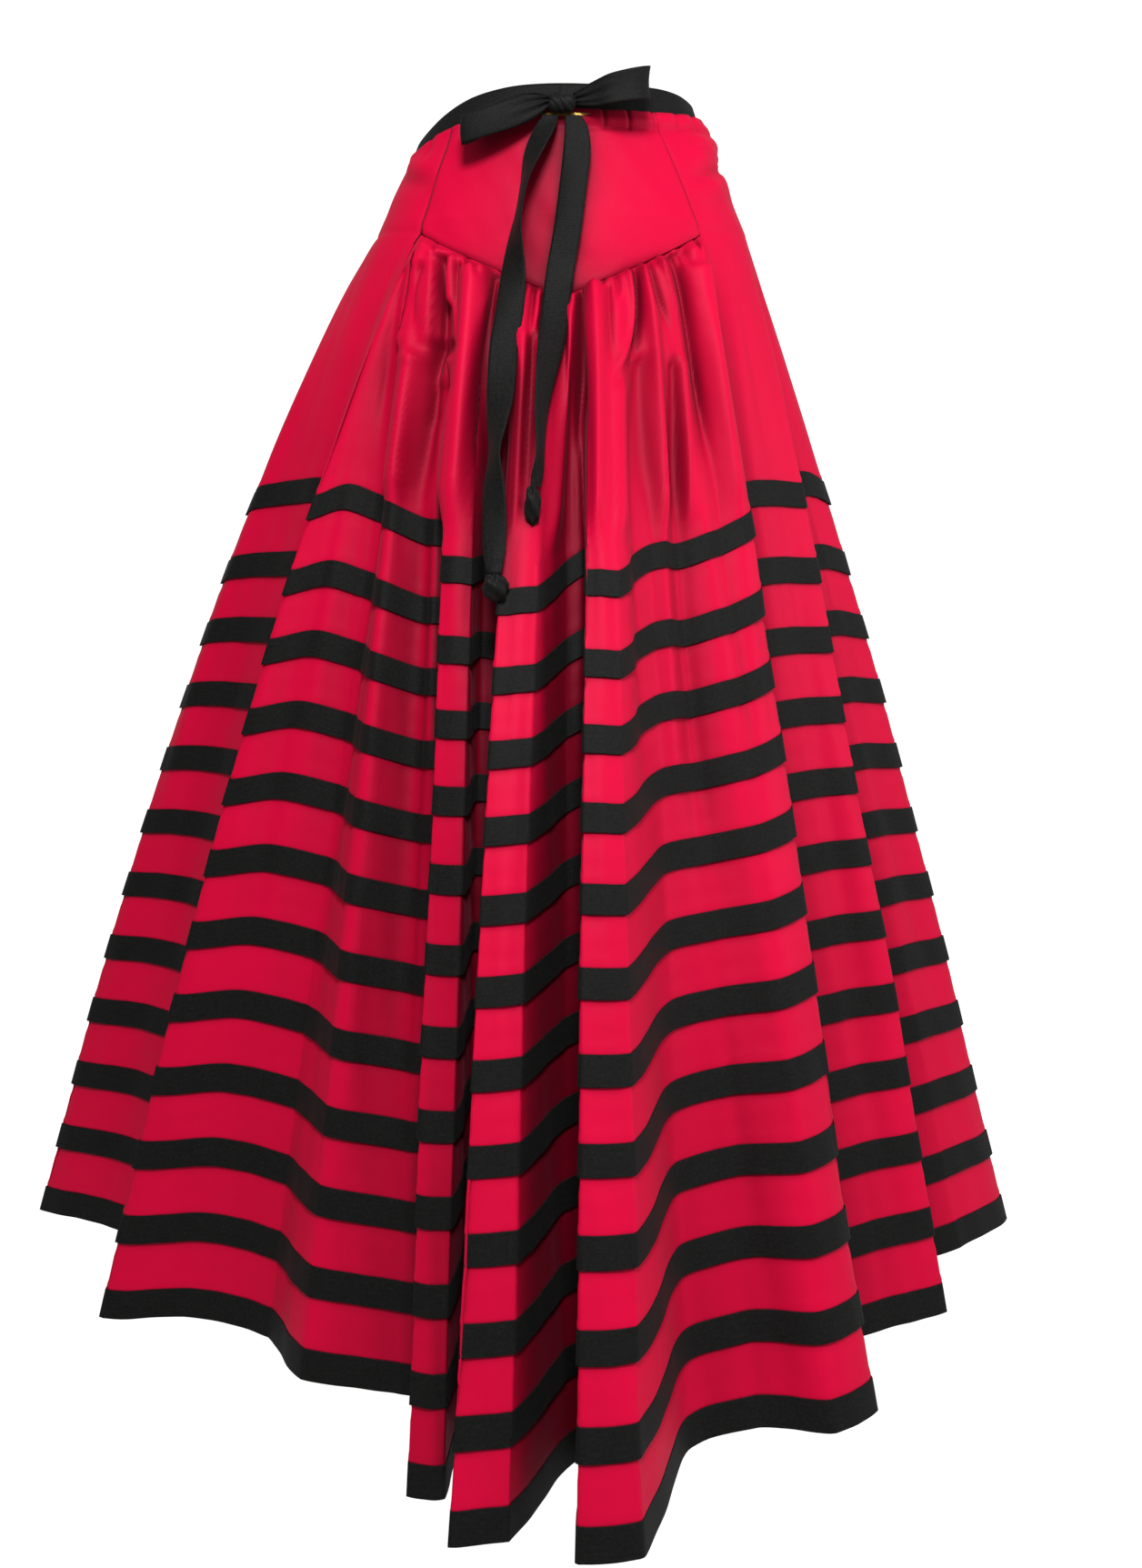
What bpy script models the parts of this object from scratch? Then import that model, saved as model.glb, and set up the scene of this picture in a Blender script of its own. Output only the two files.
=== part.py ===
"""Long flared wrap skirt with a pointed front yoke, a gathered front panel and ribbon bands.

The skirt keeps the hollow form it has when worn: open at the waist and at the hem.
Origin at the waist's centre, +Z up, the front towards -Y, all lengths in metres.

The cloth is one surface of two parameters, cut into panels at its seams.
Each row of FOLD_LINES is a ridge or a valley that runs from the hip to the hem.
A smooth closed curve joins those lines at every height, and walls and ribbons are
that curve moved inwards or outwards in plan.
"""
import math

import bpy
import numpy as np

# ---- driving sizes ---------------------------------------------------------
CLOTH = 0.0012            # wall of the satin, folded edges included
SEAM_GAP = 0.0003         # between two panels, and under a ribbon
BAND_THICK = 0.0010       # ribbon bands round the skirt
BAND_WIDTH = 0.0224
BAND_PITCH = 0.0600       # from one band's lower edge to the next, along the cloth
FIRST_BAND_EXTRA = 0.0065  # the top band sits this much further up
BAND_COUNT = 12

YOKE_POINT_Z = -0.163     # lowest point of the pointed yoke
YOKE_CORNER_Z = -0.103    # where the yoke meets the side seams
SIDE_HIP_Z = -0.095       # where the flare starts at the sides and back
YOKE_CORNER_DEG = 46.0
YOKE_TOP_RIGHT_DEG = 39.2  # the right seam leans towards the front at the waist

SIDE_HEM_Z = -0.981
FRONT_HEM_DROP = 0.088    # how much lower the hem lies per metre of reach forwards
BACK_HEM_DROP = 0.030
WAIST_ROLL = 0.013        # the left end of the waist hangs lower than the right end
WAIST_DIP = 0.003         # and the back lower than the front
WAIST_LEFT_DIP = 0.011    # the left end itself sags this much further

GATHERS = 19              # along the yoke's pointed seam
GATHER_DEPTH = 0.0030
GATHER_COLUMNS = 4
STEEPEST_GATHER = 0.65    # most depth for each millimetre between columns

WRAP_LAYER = 0.0043       # how far the under layer of the wrap lies inside the outer one
WRAP_OUTER_LINE = 34.25    # fold-line numbers at which each layer ends
WRAP_UNDER_LINE = 36.75
WRAP_TURN = (33.2, 34.2)  # between these the under layer moves inwards

WAISTBAND_HEIGHT = 0.0232
WAISTBAND_ROLLED = 0.50   # share of that height which rolls inwards at the two ends of the waist
WAISTBAND_THICK = 0.0015
WAISTBAND_STEP = 5.0      # degrees between its columns
TIE_WIDTH = 0.0235        # ribbon of the bow and its tails
TIE_THICK = 0.0010
WAISTBAND_INSIDE = 0.0006  # the waistband's face lies this much inside the cloth's
TAIL_CLEAR = 0.0062       # middle of a tail to the cloth behind it
TAIL_REACH = 0.014        # half the width of cloth that a tail lies against
SHARPEST_MITRE = 0.6      # cosine of half the sharpest corner that is mitred in full
SWELL_POWER = 0.75
SIDE_HIP_BLEND = 20.0     # degrees from the yoke's corner to the level hip
SEAM_LEAN_BLEND = 30.0    # degrees over which the right seam's lean dies out
UNEVEN_GATHERS = 0.7      # degrees

# ---- the figure's rings: height, half width, depth to the front and to the back ----
BODY_RINGS = (
    # z       half_width  front   back
    (0.030,   0.1180,     0.088,  0.086),
    (0.000,   0.1270,     0.093,  0.090),
    (-0.030,  0.1390,     0.098,  0.100),
    (-0.060,  0.1530,     0.102,  0.109),
    (-0.092,  0.1660,     0.107,  0.118),
    (-0.130,  0.1720,     0.111,  0.125),
    (-0.165,  0.1760,     0.116,  0.130),
)

# ---- the folds: where each line leaves the hip and where it meets the hem ----
# hip: degrees round the hip from the front, to the right; hem_x, hem_y: plan place at the hem
# bell: how much the line swells before it runs straight; pitch: spacing of the bands along it
# lift: how much higher the hem is there; columns: steps to the next line
FOLD_LINES = (
    # name        hip    hem_x   hem_y   bell  pitch  lift   columns
    ("B_left",   -46.6, -0.372, -0.157,  0.10, 1.000, 0.000, 2),
    ("B_face",   -45.8, -0.300, -0.163,  0.10, 0.995, 0.004, 1),
    ("B_step",   -45.0, -0.231, -0.185,  0.08, 0.985, 0.000, 1),
    ("B_ridge",  -44.0, -0.195, -0.246,  0.08, 0.980, 0.004, 2),
    ("B_right",  -36.2, -0.125, -0.258,  0.08, 0.965, 0.000, 1),
    ("BC_val",   -34.0, -0.088, -0.270,  0.08, 0.965, 0.000, 2),
    ("C_left",   -30.0, -0.106, -0.352,  0.10, 0.965, -0.012, 2),
    ("C_right",  -21.5, -0.081, -0.358,  0.10, 0.960, -0.010, 2),
    ("CD_val",   -18.5, -0.073, -0.297,  0.10, 0.930, 0.000, 1),
    ("CD_bed",   -14.0, -0.045, -0.291,  0.10, 0.920, 0.000, 2),
    ("D_left",    -9.5, -0.073, -0.418,  0.12, 0.930, 0.000, 2),
    ("D_right",   -3.0, -0.034, -0.416,  0.12, 0.930, 0.002, 2),
    ("DE_val",     1.0,  0.002, -0.341,  0.12, 0.935, 0.000, 1),
    ("DE_bed",     4.5,  0.027, -0.325,  0.12, 0.945, 0.000, 2),
    ("E_left",     7.5,  0.010, -0.433,  0.12, 0.960, 0.000, 3),
    ("E_right",   13.0,  0.050, -0.427,  0.12, 0.955, 0.000, 2),
    ("EF_val",    20.0,  0.090, -0.320,  0.10, 0.950, 0.000, 2),
    ("F_left",    28.0,  0.140, -0.306,  0.05, 0.946, 0.006, 2),
    ("F_mid",     38.0,  0.194, -0.316,  0.03, 0.970, 0.008, 2),
    ("F_right",   45.5,  0.229, -0.287,  0.02, 0.985, 0.006, 2),
    ("FG_val",    50.0,  0.205, -0.205,  0.03, 1.000, 0.000, 2),
    ("G_left",    62.0,  0.255, -0.178,  0.05, 1.000, 0.003, 2),
    ("G_right",   76.0,  0.311, -0.155,  0.06, 1.000, 0.003, 2),
    ("GH_val",    82.0,  0.290, -0.085,  0.05, 1.000, 0.000, 2),
    ("H_left",    88.0,  0.345, -0.062,  0.05, 1.000, 0.006, 2),
    ("H_right",   95.0,  0.405,  0.000,  0.06, 1.000, 0.000, 2),
    ("HI_val",   101.0,  0.350,  0.070,  0.05, 1.000, 0.000, 2),
    ("I_ridge",  110.0,  0.398,  0.130,  0.06, 1.000, 0.000, 2),
    ("IJ_val",   118.0,  0.318,  0.178,  0.06, 1.000, 0.000, 2),
    ("J_ridge",  127.0,  0.324,  0.252,  0.07, 1.000, 0.002, 2),
    ("JK_val",   135.0,  0.262,  0.274,  0.07, 1.000, 0.000, 2),
    ("K_ridge",  143.0,  0.254,  0.366,  0.08, 1.000, 0.003, 2),
    ("KL_val",   151.0,  0.152,  0.302,  0.08, 1.000, 0.000, 2),
    ("L_ridge",  159.0,  0.120,  0.398,  0.08, 1.000, 0.004, 2),
    ("LM_val",   167.0,  0.078,  0.358,  0.08, 1.000, 0.000, 2),
    ("M_ridge",  176.0,  0.012,  0.438,  0.08, 1.000, 0.000, 2),
    ("MN_val",   185.0, -0.050,  0.334,  0.08, 1.000, 0.000, 2),
    ("N_ridge",  193.0, -0.100,  0.414,  0.08, 1.000, 0.003, 2),
    ("NO_val",   201.0, -0.160,  0.346,  0.08, 1.000, 0.000, 2),
    ("O_ridge",  209.0, -0.234,  0.390,  0.08, 1.000, 0.002, 2),
    ("OP_val",   218.0, -0.272,  0.268,  0.08, 1.000, 0.000, 2),
    ("P_ridge",  227.0, -0.346,  0.266,  0.08, 1.000, 0.000, 2),
    ("PQ_val",   237.0, -0.350,  0.188,  0.09, 1.000, 0.000, 2),
    ("Q_ridge",  247.0, -0.440,  0.158,  0.10, 1.000, 0.003, 2),
    ("QA_val",   257.0, -0.400,  0.085,  0.11, 1.000, 0.000, 2),
    ("A_ridge",  268.0, -0.480,  0.020,  0.11, 1.000, 0.000, 2),
    ("A_front",  288.0, -0.412, -0.012,  0.11, 1.000, 0.000, 2),
    ("AB_val",   308.0, -0.345, -0.068,  0.11, 1.000, 0.000, 2),
)
LINE_NAMES = [row[0] for row in FOLD_LINES]
LINE_COUNT = len(FOLD_LINES)
FRONT_SEAMS = (LINE_NAMES.index("B_left"), LINE_NAMES.index("F_right"))
SIDE_SEAMS = (LINE_NAMES.index("A_ridge"), LINE_NAMES.index("H_right"))

# ---- hanging ends of the bow: height, place across, twist and share of the full width ----
LEFT_TAIL = (
    # z       x        twist  width
    (-0.0074, -0.0095,   0.0, 0.55),
    (-0.0200, -0.0150,  25.0, 0.85),
    (-0.0400, -0.0235,  45.0, 1.00),
    (-0.0640, -0.0306,  70.0, 1.00),
    (-0.0880, -0.0352,  76.0, 1.00),
    (-0.1120, -0.0390,  64.0, 1.00),
    (-0.1430, -0.0405,  32.0, 1.00),
    (-0.1757, -0.0428,   5.0, 1.00),
    (-0.2053, -0.0466,   0.0, 1.00),
    (-0.2300, -0.0480,  10.0, 1.00),
    (-0.2539, -0.0492,  25.0, 1.00),
    (-0.2780, -0.0515,  50.0, 1.00),
    (-0.2997, -0.0530,  66.0, 1.00),
    (-0.3260, -0.0525,  40.0, 0.90),
    (-0.3517, -0.0517,  22.0, 0.85),
    (-0.3760, -0.0518,  15.0, 0.75),
    (-0.3925, -0.0508,  10.0, 0.45),
)
RIGHT_TAIL = (
    # z       x        twist  width
    (-0.0074,  0.0095,   0.0, 0.60),
    (-0.0200,  0.0125,   0.0, 0.85),
    (-0.0400,  0.0126,   5.0, 1.00),
    (-0.0648,  0.0098,   8.0, 1.00),
    (-0.1040,  0.0050,   5.0, 1.00),
    (-0.1430, -0.0015,   0.0, 1.00),
    (-0.1868, -0.0063,  -5.0, 1.00),
    (-0.2100, -0.0090, -25.0, 1.00),
    (-0.2304, -0.0117, -45.0, 1.00),
    (-0.2656, -0.0158, -62.0, 0.90),
    (-0.2997, -0.0165, -70.0, 0.75),
    (-0.3192, -0.0195, -35.0, 0.45),
    (-0.3255, -0.0205, -20.0, 0.35),
)
# ends of the tails: x, height and radii of the tied knots
LEFT_KNOT = {"x": -0.0502, "z": -0.4022, "radii": (0.0095, 0.0075, 0.0100)}
KNOT_PROUD = 0.3            # share of a knot's depth by which it stands further out than its tail
RIGHT_KNOT = {"x": -0.0225, "z": -0.3394, "radii": (0.0060, 0.0060, 0.0145)}

# ---- the bow's loops: x, reach in front of the waist, height, share of the ribbon's width ----
LEFT_LOOP = (
    # x        y        z        width
    (-0.0172, -0.1010,  0.0048, 0.42),
    (-0.0260, -0.1060, -0.0015, 0.85),
    (-0.0420, -0.1110, -0.0085, 1.00),
    (-0.0600, -0.1120, -0.0145, 1.00),
    (-0.0750, -0.1095, -0.0185, 1.02),
    (-0.0840, -0.1050, -0.0200, 1.03),
    (-0.0840, -0.0985, -0.0195, 1.03),
    (-0.0760, -0.0945, -0.0150, 1.02),
    (-0.0580, -0.0960, -0.0065, 0.98),
    (-0.0400, -0.0985,  0.0005, 0.90),
    (-0.0250, -0.0990,  0.0045, 0.70),
    (-0.0170, -0.0985,  0.0060, 0.45),
)
RIGHT_LOOP = (
    # x        y        z        width
    (0.0160, -0.1015,  0.0055, 0.45),
    (0.0260, -0.1075,  0.0085, 0.85),
    (0.0400, -0.1150,  0.0110, 1.05),
    (0.0550, -0.1170,  0.0135, 1.12),
    (0.0670, -0.1140,  0.0160, 1.15),
    (0.0730, -0.1070,  0.0185, 1.15),
    (0.0725, -0.0990,  0.0205, 1.14),
    (0.0640, -0.0950,  0.0200, 1.12),
    (0.0500, -0.0965,  0.0170, 1.08),
    (0.0360, -0.0980,  0.0130, 0.95),
    (0.0250, -0.0985,  0.0095, 0.75),
    (0.0162, -0.0980,  0.0060, 0.42),
)
BAR_SAG = 0.0002            # how far the straight steps of the cloth cut inside its round
# the knot is fuller at its back, where it sits on the waistband and the bar
BOW_KNOT = {"y": -0.1028, "z": 0.0034, "width": 0.0290, "front": 0.0065, "back": 0.0099,
            "height": 0.0220, "waist": 0.30}
GOLD_BAR = {"x_ends": (-0.0180, 0.0280), "z": -0.0050, "height": 0.0022, "thick": 0.0012}

SATIN_RED = (0.72, 0.006, 0.040)
RIBBON_BLACK = (0.012, 0.012, 0.012)
BAR_GOLD = (0.72, 0.48, 0.16)


# ---- the surface -----------------------------------------------------------
def knots():
    """Knot values of the closed curve: the square root of each step at the hem, added up."""
    hem = np.array([(row[2], row[3]) for row in FOLD_LINES])
    step = np.sqrt(np.linalg.norm(np.roll(hem, -1, axis=0) - hem, axis=1))
    return np.concatenate([[0.0], np.cumsum(step)])


LINE_KNOTS = knots()
LINE_VALUES = np.array([row[1:7] for row in FOLD_LINES], dtype=float)
ONE_TURN = np.array([360.0, 0, 0, 0, 0, 0])


def line_values(line):
    """Hip angle, hem x, hem y, bell, pitch and lift at any line number, on a smooth closed curve."""
    line = np.asarray(line, dtype=float)
    first = np.floor(line).astype(int)
    part = (line - first)[..., None]

    def value(index):
        turns, row = np.divmod(index, LINE_COUNT)
        return LINE_VALUES[row] + turns[..., None] * ONE_TURN

    def knot(index):
        turns, row = np.divmod(index, LINE_COUNT)
        return (LINE_KNOTS[row] + turns * LINE_KNOTS[LINE_COUNT])[..., None]

    p0, p1, p2, p3 = (value(first + i) for i in (-1, 0, 1, 2))
    k0, k1, k2, k3 = (knot(first + i) for i in (-1, 0, 1, 2))
    span = k2 - k1
    before, slope, after = (p1 - p0) / (k1 - k0), (p2 - p1) / span, (p3 - p2) / (k3 - k2)
    slope_1 = (slope * (k1 - k0) + before * span) / (k2 - k0)
    slope_2 = (after * span + slope * (k3 - k2)) / (k3 - k1)
    # the hip angle only ever grows, so its slopes are harmonic means
    turn_1, turn_2, turn_3 = (rate[..., 0] for rate in (before, slope, after))
    slope_1[..., 0] = 2 * turn_1 * turn_2 / (turn_1 + turn_2)
    slope_2[..., 0] = 2 * turn_2 * turn_3 / (turn_2 + turn_3)
    square, cube = part**2, part**3
    return ((2 * cube - 3 * square + 1) * p1 + (cube - 2 * square + part) * span * slope_1
            + (3 * square - 2 * cube) * p2 + (cube - square) * span * slope_2)


def body_ring(degrees, z):
    """Plan place on the figure at an angle and a height: an ellipse, deeper at the back."""
    rings = np.array(BODY_RINGS)[::-1]
    half_width = np.interp(z, rings[:, 0], rings[:, 1])
    front = np.interp(z, rings[:, 0], rings[:, 2])
    back = np.interp(z, rings[:, 0], rings[:, 3])
    angle = np.radians(degrees)
    depth = np.where(np.cos(angle) > 0, front, back)
    return half_width * np.sin(angle), -depth * np.cos(angle)


def from_front(degrees):
    """The angle between -180 and 180 degrees."""
    return (np.asarray(degrees) + 180.0) % 360.0 - 180.0


def hip_height(degrees):
    """Height at which the flare starts: the yoke's pointed seam in front, level elsewhere."""
    away = np.abs(from_front(degrees))
    point = np.clip(1.0 - away / YOKE_CORNER_DEG, 0.0, 1.0)
    side = np.clip((away - YOKE_CORNER_DEG) / SIDE_HIP_BLEND, 0.0, 1.0)
    return (YOKE_CORNER_Z + (YOKE_POINT_Z - YOKE_CORNER_Z) * point
            + (SIDE_HIP_Z - YOKE_CORNER_Z) * side)


def waist_height(degrees):
    """Height of the cloth's top edge: a ring that leans to the left."""
    angle = np.radians(degrees)
    sag = WAIST_LEFT_DIP * np.maximum(-np.sin(angle), 0.0) ** 4
    return WAIST_ROLL * np.sin(angle) ** 3 - WAIST_DIP * (1.0 - np.cos(angle)) - sag


def swell(down, bell):
    """Share of the way from hip to hem in plan: straight, plus a swell that dies out at both ends."""
    eased = np.clip(down, 0.0, 1.0) ** SWELL_POWER
    return down + bell * 4.0 * eased * (1.0 - eased)


def flare(line, down):
    """Point of the skirt below the hip; down is 0 at the hip and 1 at the hem."""
    line, down = np.broadcast_arrays(np.asarray(line, float), np.asarray(down, float))
    hip, hem_x, hem_y, bell, _, lift = np.moveaxis(line_values(line), -1, 0)
    top_z = hip_height(hip)
    top_x, top_y = body_ring(hip, top_z)
    hem_z = SIDE_HEM_Z + FRONT_HEM_DROP * np.minimum(hem_y, 0) - BACK_HEM_DROP * np.maximum(hem_y, 0) + lift
    out = swell(down, bell)
    return np.stack([top_x + (hem_x - top_x) * out,
                     top_y + (hem_y - top_y) * out,
                     top_z + (hem_z - top_z) * down], axis=-1)


def down_at(line, up):
    """Share from hip to hem at a distance up from the hem, measured along the cloth."""
    fine = np.linspace(0.0, 1.0, 81)
    points = flare(line[:, None], fine[None, :])
    steps = np.linalg.norm(np.diff(points, axis=1), axis=2)
    from_hip = np.concatenate([np.zeros((len(line), 1)), np.cumsum(steps, axis=1)], axis=1)
    from_hem = from_hip[:, -1:] - from_hip
    return np.array([np.interp(-u, -row, fine) for u, row in zip(up, from_hem)])


def waist_angle(hip_degrees):
    """The angle a line has at the waist: the same as at the hip, but for the lean of the right seam."""
    lean = YOKE_CORNER_DEG - YOKE_TOP_RIGHT_DEG
    away = np.abs(from_front(hip_degrees) - YOKE_CORNER_DEG)
    return hip_degrees - lean * np.clip(1.0 - away / SEAM_LEAN_BLEND, 0.0, 1.0)


def above_hip(line, share):
    """Point of the cloth between hip (share 0) and waist (share 1)."""
    hip = line_values(line)[..., 0]
    top = waist_angle(hip)
    z = hip_height(hip) * (1 - share) + waist_height(top) * share
    x, y = body_ring(hip * (1 - share) + top * share, z)
    return np.stack([x, y, z], axis=-1)


def in_plan(points, distance, closed=False):
    """Move a row of points outwards in plan by a distance, with mitred corners."""
    if closed:
        around = np.concatenate([points[-1:], points, points[:1]])
    else:
        around = np.concatenate([2 * points[:1] - points[1:2], points, 2 * points[-1:] - points[-2:-1]])
    run = np.diff(around[:, :2], axis=0)
    run /= np.linalg.norm(run, axis=1)[:, None]
    sides = np.stack([run[:, 1], -run[:, 0]], axis=1)
    mid = sides[:-1] + sides[1:]
    mid /= np.linalg.norm(mid, axis=1)[:, None]
    stretch = np.maximum((mid * sides[1:]).sum(axis=1), SHARPEST_MITRE)
    moved = points.copy()
    moved[:, :2] += mid * (np.asarray(distance) / stretch)[:, None]
    return moved


# ---- rows and columns ------------------------------------------------------
def ring_columns():
    """Line numbers of the columns over two turns: spread between the fold lines, and on each seam."""
    found = []
    for index in range(2 * LINE_COUNT):
        steps = FOLD_LINES[index % LINE_COUNT][7]
        if index % LINE_COUNT in (*FRONT_SEAMS, *SIDE_SEAMS):
            found.append(float(index))
        found += [index + (step + 0.5) / steps for step in range(steps)]
    return np.array(found)


RING_COLUMNS = ring_columns()


def columns(first, last, spare=0):
    """The columns from one line number to another, with spare ones beyond each end."""
    first, last = first + LINE_COUNT * (first < 1), last + LINE_COUNT * (first < 1)
    start, end = (int(np.argmin(np.abs(RING_COLUMNS - edge))) for edge in (first, last))
    return RING_COLUMNS[start - spare:end + spare + 1]


def band_edge(number):
    """Distance of band number 1 (top) to 12 (hem) up from the hem, to its lower edge."""
    up = (BAND_COUNT - number) * BAND_PITCH
    return up + (FIRST_BAND_EXTRA if number == 1 else 0.0)


BETWEEN_BANDS = (BAND_PITCH - BAND_WIDTH) / 2
# rows of the panels, up from the hem: the hem, then between each second pair of bands
ROW_HEIGHTS = [0.0] + [band_edge(number) + BAND_WIDTH + BETWEEN_BANDS for number in (11, 9, 7, 5, 3, 1)]
UPPER_SHARES = (0.50, 0.25, 0.06, 0.0)   # rows from the top band's row to the hip
WAIST_SHARES = (0.5, 1.0)         # rows from the hip to the waist


def layer(line):
    """How far inside the outer layer the cloth lies: only the wrap's under layer does."""
    start, end = WRAP_TURN
    turned = np.clip((line - start) / (end - start), 0.0, 1.0)
    return -WRAP_LAYER * turned * turned * (3 - 2 * turned)


def flare_rows(line):
    """Rows of points from the hem up to the top band's row, on the given columns."""
    pitch = line_values(line)[:, 4]
    return [flare(line, down_at(line, height * pitch)) for height in ROW_HEIGHTS]


def upper_rows(line, shares):
    """Rows from the top band's row up to the hip."""
    pitch = line_values(line)[:, 4]
    top_row = down_at(line, ROW_HEIGHTS[-1] * pitch)
    return [flare(line, top_row * share) for share in shares]


def seam_ends(row, first, last):
    """Draw the two ends of a row in by half a seam gap, where they meet another panel."""
    row = row.copy()
    for end, beside, wanted in ((0, 1, first), (-1, -2, last)):
        if wanted:
            inward = row[beside] - row[end]
            row[end] += inward / np.linalg.norm(inward) * SEAM_GAP / 2
    return row


# ---- meshes ----------------------------------------------------------------
def bend(p00, p01, p10, p11):
    """Twist of a four-cornered patch: above zero where its first diagonal stands proud."""
    normal = np.cross(p01 - p00, p10 - p00)
    return float(np.dot(normal, p11 - p00))


def strip_faces(points, low, high, sink):
    """Triangles between two rows of point numbers; sink picks the diagonal that lies lower."""
    faces = []
    if len(low) == len(high):
        for i in range(len(low) - 1):
            a, b, c, d = low[i], low[i + 1], high[i + 1], high[i]
            proud = bend(points[a], points[b], points[d], points[c]) > 0
            if proud == sink:
                faces += [(a, b, d), (b, c, d)]
            else:
                faces += [(a, b, c), (a, c, d)]
        return faces
    i = j = 0
    while i < len(low) - 1 or j < len(high) - 1:
        next_low = (i + 1) / (len(low) - 1)
        next_high = (j + 1) / (len(high) - 1)
        if i < len(low) - 1 and (j == len(high) - 1 or next_low <= next_high):
            faces.append((low[i], low[i + 1], high[j]))
            i += 1
        else:
            faces.append((low[i], high[j + 1], high[j]))
            j += 1
    return faces


def wall(outer_rows, inner_rows, sink=True):
    """Closed wall between two matching sets of rows, each from the bottom up, left to right."""
    points = [p for rows in (outer_rows, inner_rows) for row in rows for p in row]
    half = len(points) // 2
    starts = np.concatenate([[0], np.cumsum([len(row) for row in outer_rows])])
    outer = [list(range(low, high)) for low, high in zip(starts, starts[1:])]
    inner = [[number + half for number in row] for row in outer]
    faces = [f for low, high in zip(outer, outer[1:]) for f in strip_faces(points, low, high, sink)]
    faces += [(c + half, b + half, a + half) for a, b, c in faces]
    for a, b in ((inner[0], outer[0]), (outer[-1], inner[-1])):
        faces += [f for i in range(len(a) - 1) for f in ((a[i], a[i + 1], b[i + 1]), (a[i], b[i + 1], b[i]))]
    for side, order in ((0, 1), (-1, -1)):
        for r in range(len(outer) - 1):
            a, b, c, d = inner[r][side], outer[r][side], outer[r + 1][side], inner[r + 1][side]
            faces += [(a, b, c)[::order], (a, c, d)[::order]]
    return points, faces


def tube(sections):
    """Closed solid through four-cornered or many-cornered sections, capped at both ends."""
    count = len(sections[0])
    points = [np.asarray(p) for section in sections for p in section]
    faces = []
    for s in range(len(sections) - 1):
        for i in range(count):
            a, b = s * count + i, s * count + (i + 1) % count
            faces += [(a, b, b + count), (a, b + count, a + count)]
    last = (len(sections) - 1) * count
    faces += [(0, i + 1, i) for i in range(1, count - 1)]
    faces += [(last, last + i, last + i + 1) for i in range(1, count - 1)]
    return points, faces


def material(name, colour, roughness, metallic=0.0):
    """Principled material with a base colour, a roughness and a metallic value."""
    made = bpy.data.materials.new(name)
    made.use_nodes = True
    shader = made.node_tree.nodes["Principled BSDF"]
    shader.inputs["Base Color"].default_value = (*colour, 1.0)
    shader.inputs["Roughness"].default_value = roughness
    shader.inputs["Metallic"].default_value = metallic
    return made


def add_node(name, mesh_data, finish):
    """One named object from points and faces, with its faces pointing out."""
    points, faces = mesh_data
    mesh = bpy.data.meshes.new(name)
    mesh.from_pydata([tuple(float(c) for c in p) for p in points], [], faces)
    mesh.validate()
    volume = sum(np.dot(points[a], np.cross(points[b], points[c])) for a, b, c in faces)
    if volume < 0:
        mesh.flip_normals()
    mesh.materials.append(material(name, *finish))
    made = bpy.data.objects.new(name, mesh)
    bpy.context.collection.objects.link(made)
    return made


RED = (SATIN_RED, 0.38)
BLACK = (RIBBON_BLACK, 0.62)
GOLD = (BAR_GOLD, 0.25, 1.0)


# ---- panels ----------------------------------------------------------------
def both_walls(rows, seams, inside=0.0):
    """Outer and inner rows of a panel, from rows with a spare point at each end."""
    outer, inner = [], []
    for row in rows:
        inside_row = np.broadcast_to(inside, (len(row),))
        outer.append(seam_ends(in_plan(row, inside_row)[1:-1], *seams))
        inner.append(seam_ends(in_plan(row, inside_row - CLOTH)[1:-1], *seams))
    return outer, inner


def side_panel(first, last, seams, wrapped=False):
    """Panel that runs in one from the waist to the hem."""
    line = columns(first, last, spare=1)
    rows = flare_rows(line) + upper_rows(line, UPPER_SHARES)
    rows += [above_hip(line, share) for share in WAIST_SHARES]
    inside = layer(line) if wrapped else 0.0
    return wall(*both_walls(rows, seams, inside))


def gather_lines():
    """Line numbers spread along the yoke's seam, a column on its point, with a slight unevenness."""
    share = np.linspace(0.0, 1.0, GATHERS * GATHER_COLUMNS + 1)
    uneven = UNEVEN_GATHERS * np.sin(8.0 * math.pi * share) * np.sin(math.pi * share)
    fine = np.linspace(*FRONT_SEAMS, 400)
    angles = line_values(fine)[:, 0]
    wanted = np.interp(share, (0.0, 0.5, 1.0), (angles[0], 0.0, angles[-1])) + uneven
    return np.interp(wanted, angles, fine)


def front_panel():
    """Gathered front: below the top band's row as the folds run, above it with the gathers."""
    line = columns(*FRONT_SEAMS, spare=1)
    outer, inner = both_walls(flare_rows(line), (True, True))
    top_lines = gather_lines()
    count = len(top_lines)
    even_lines = np.interp(np.linspace(0, 1, count), np.linspace(0, 1, len(line) - 2), line[1:-1] - LINE_COUNT)
    place = np.arange(count) / GATHER_COLUMNS
    strength = 0.75 + 0.25 * np.sin(2.3 * place)
    wave = -np.cos(2 * math.pi * place) * strength * np.minimum(1.0, np.minimum(place, place[::-1]))
    fullness = (
        # gather  puff
        (0.20,    0.0),
        (0.40,    0.0025),
        (1.00,    0.0035),
        (0.00,    0.0),
    )
    for share, (gather, puff) in zip(UPPER_SHARES, fullness):
        mixed = top_lines + (even_lines - top_lines) * (share / UPPER_SHARES[0]) ** 0.8
        row = upper_rows(np.concatenate([line[:1] - LINE_COUNT, mixed, line[-1:] - LINE_COUNT]), (share,))[0]
        if share == 0.0:
            row[:, 2] -= SEAM_GAP
        beside = np.linalg.norm(np.diff(row[:, :2], axis=0), axis=1)
        depth = np.minimum(gather * GATHER_DEPTH, STEEPEST_GATHER * np.minimum(beside[1:], beside[:-1]))
        push = wave * depth + puff * np.minimum(1.0, np.minimum(place, place[::-1]))
        row = in_plan(row, np.concatenate([[0.0], push, [0.0]]))
        outer.append(seam_ends(row[1:-1], True, True))
        inner.append(seam_ends(in_plan(row, np.full(count + 2, -CLOTH))[1:-1], True, True))
    return wall(outer, inner)


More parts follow.
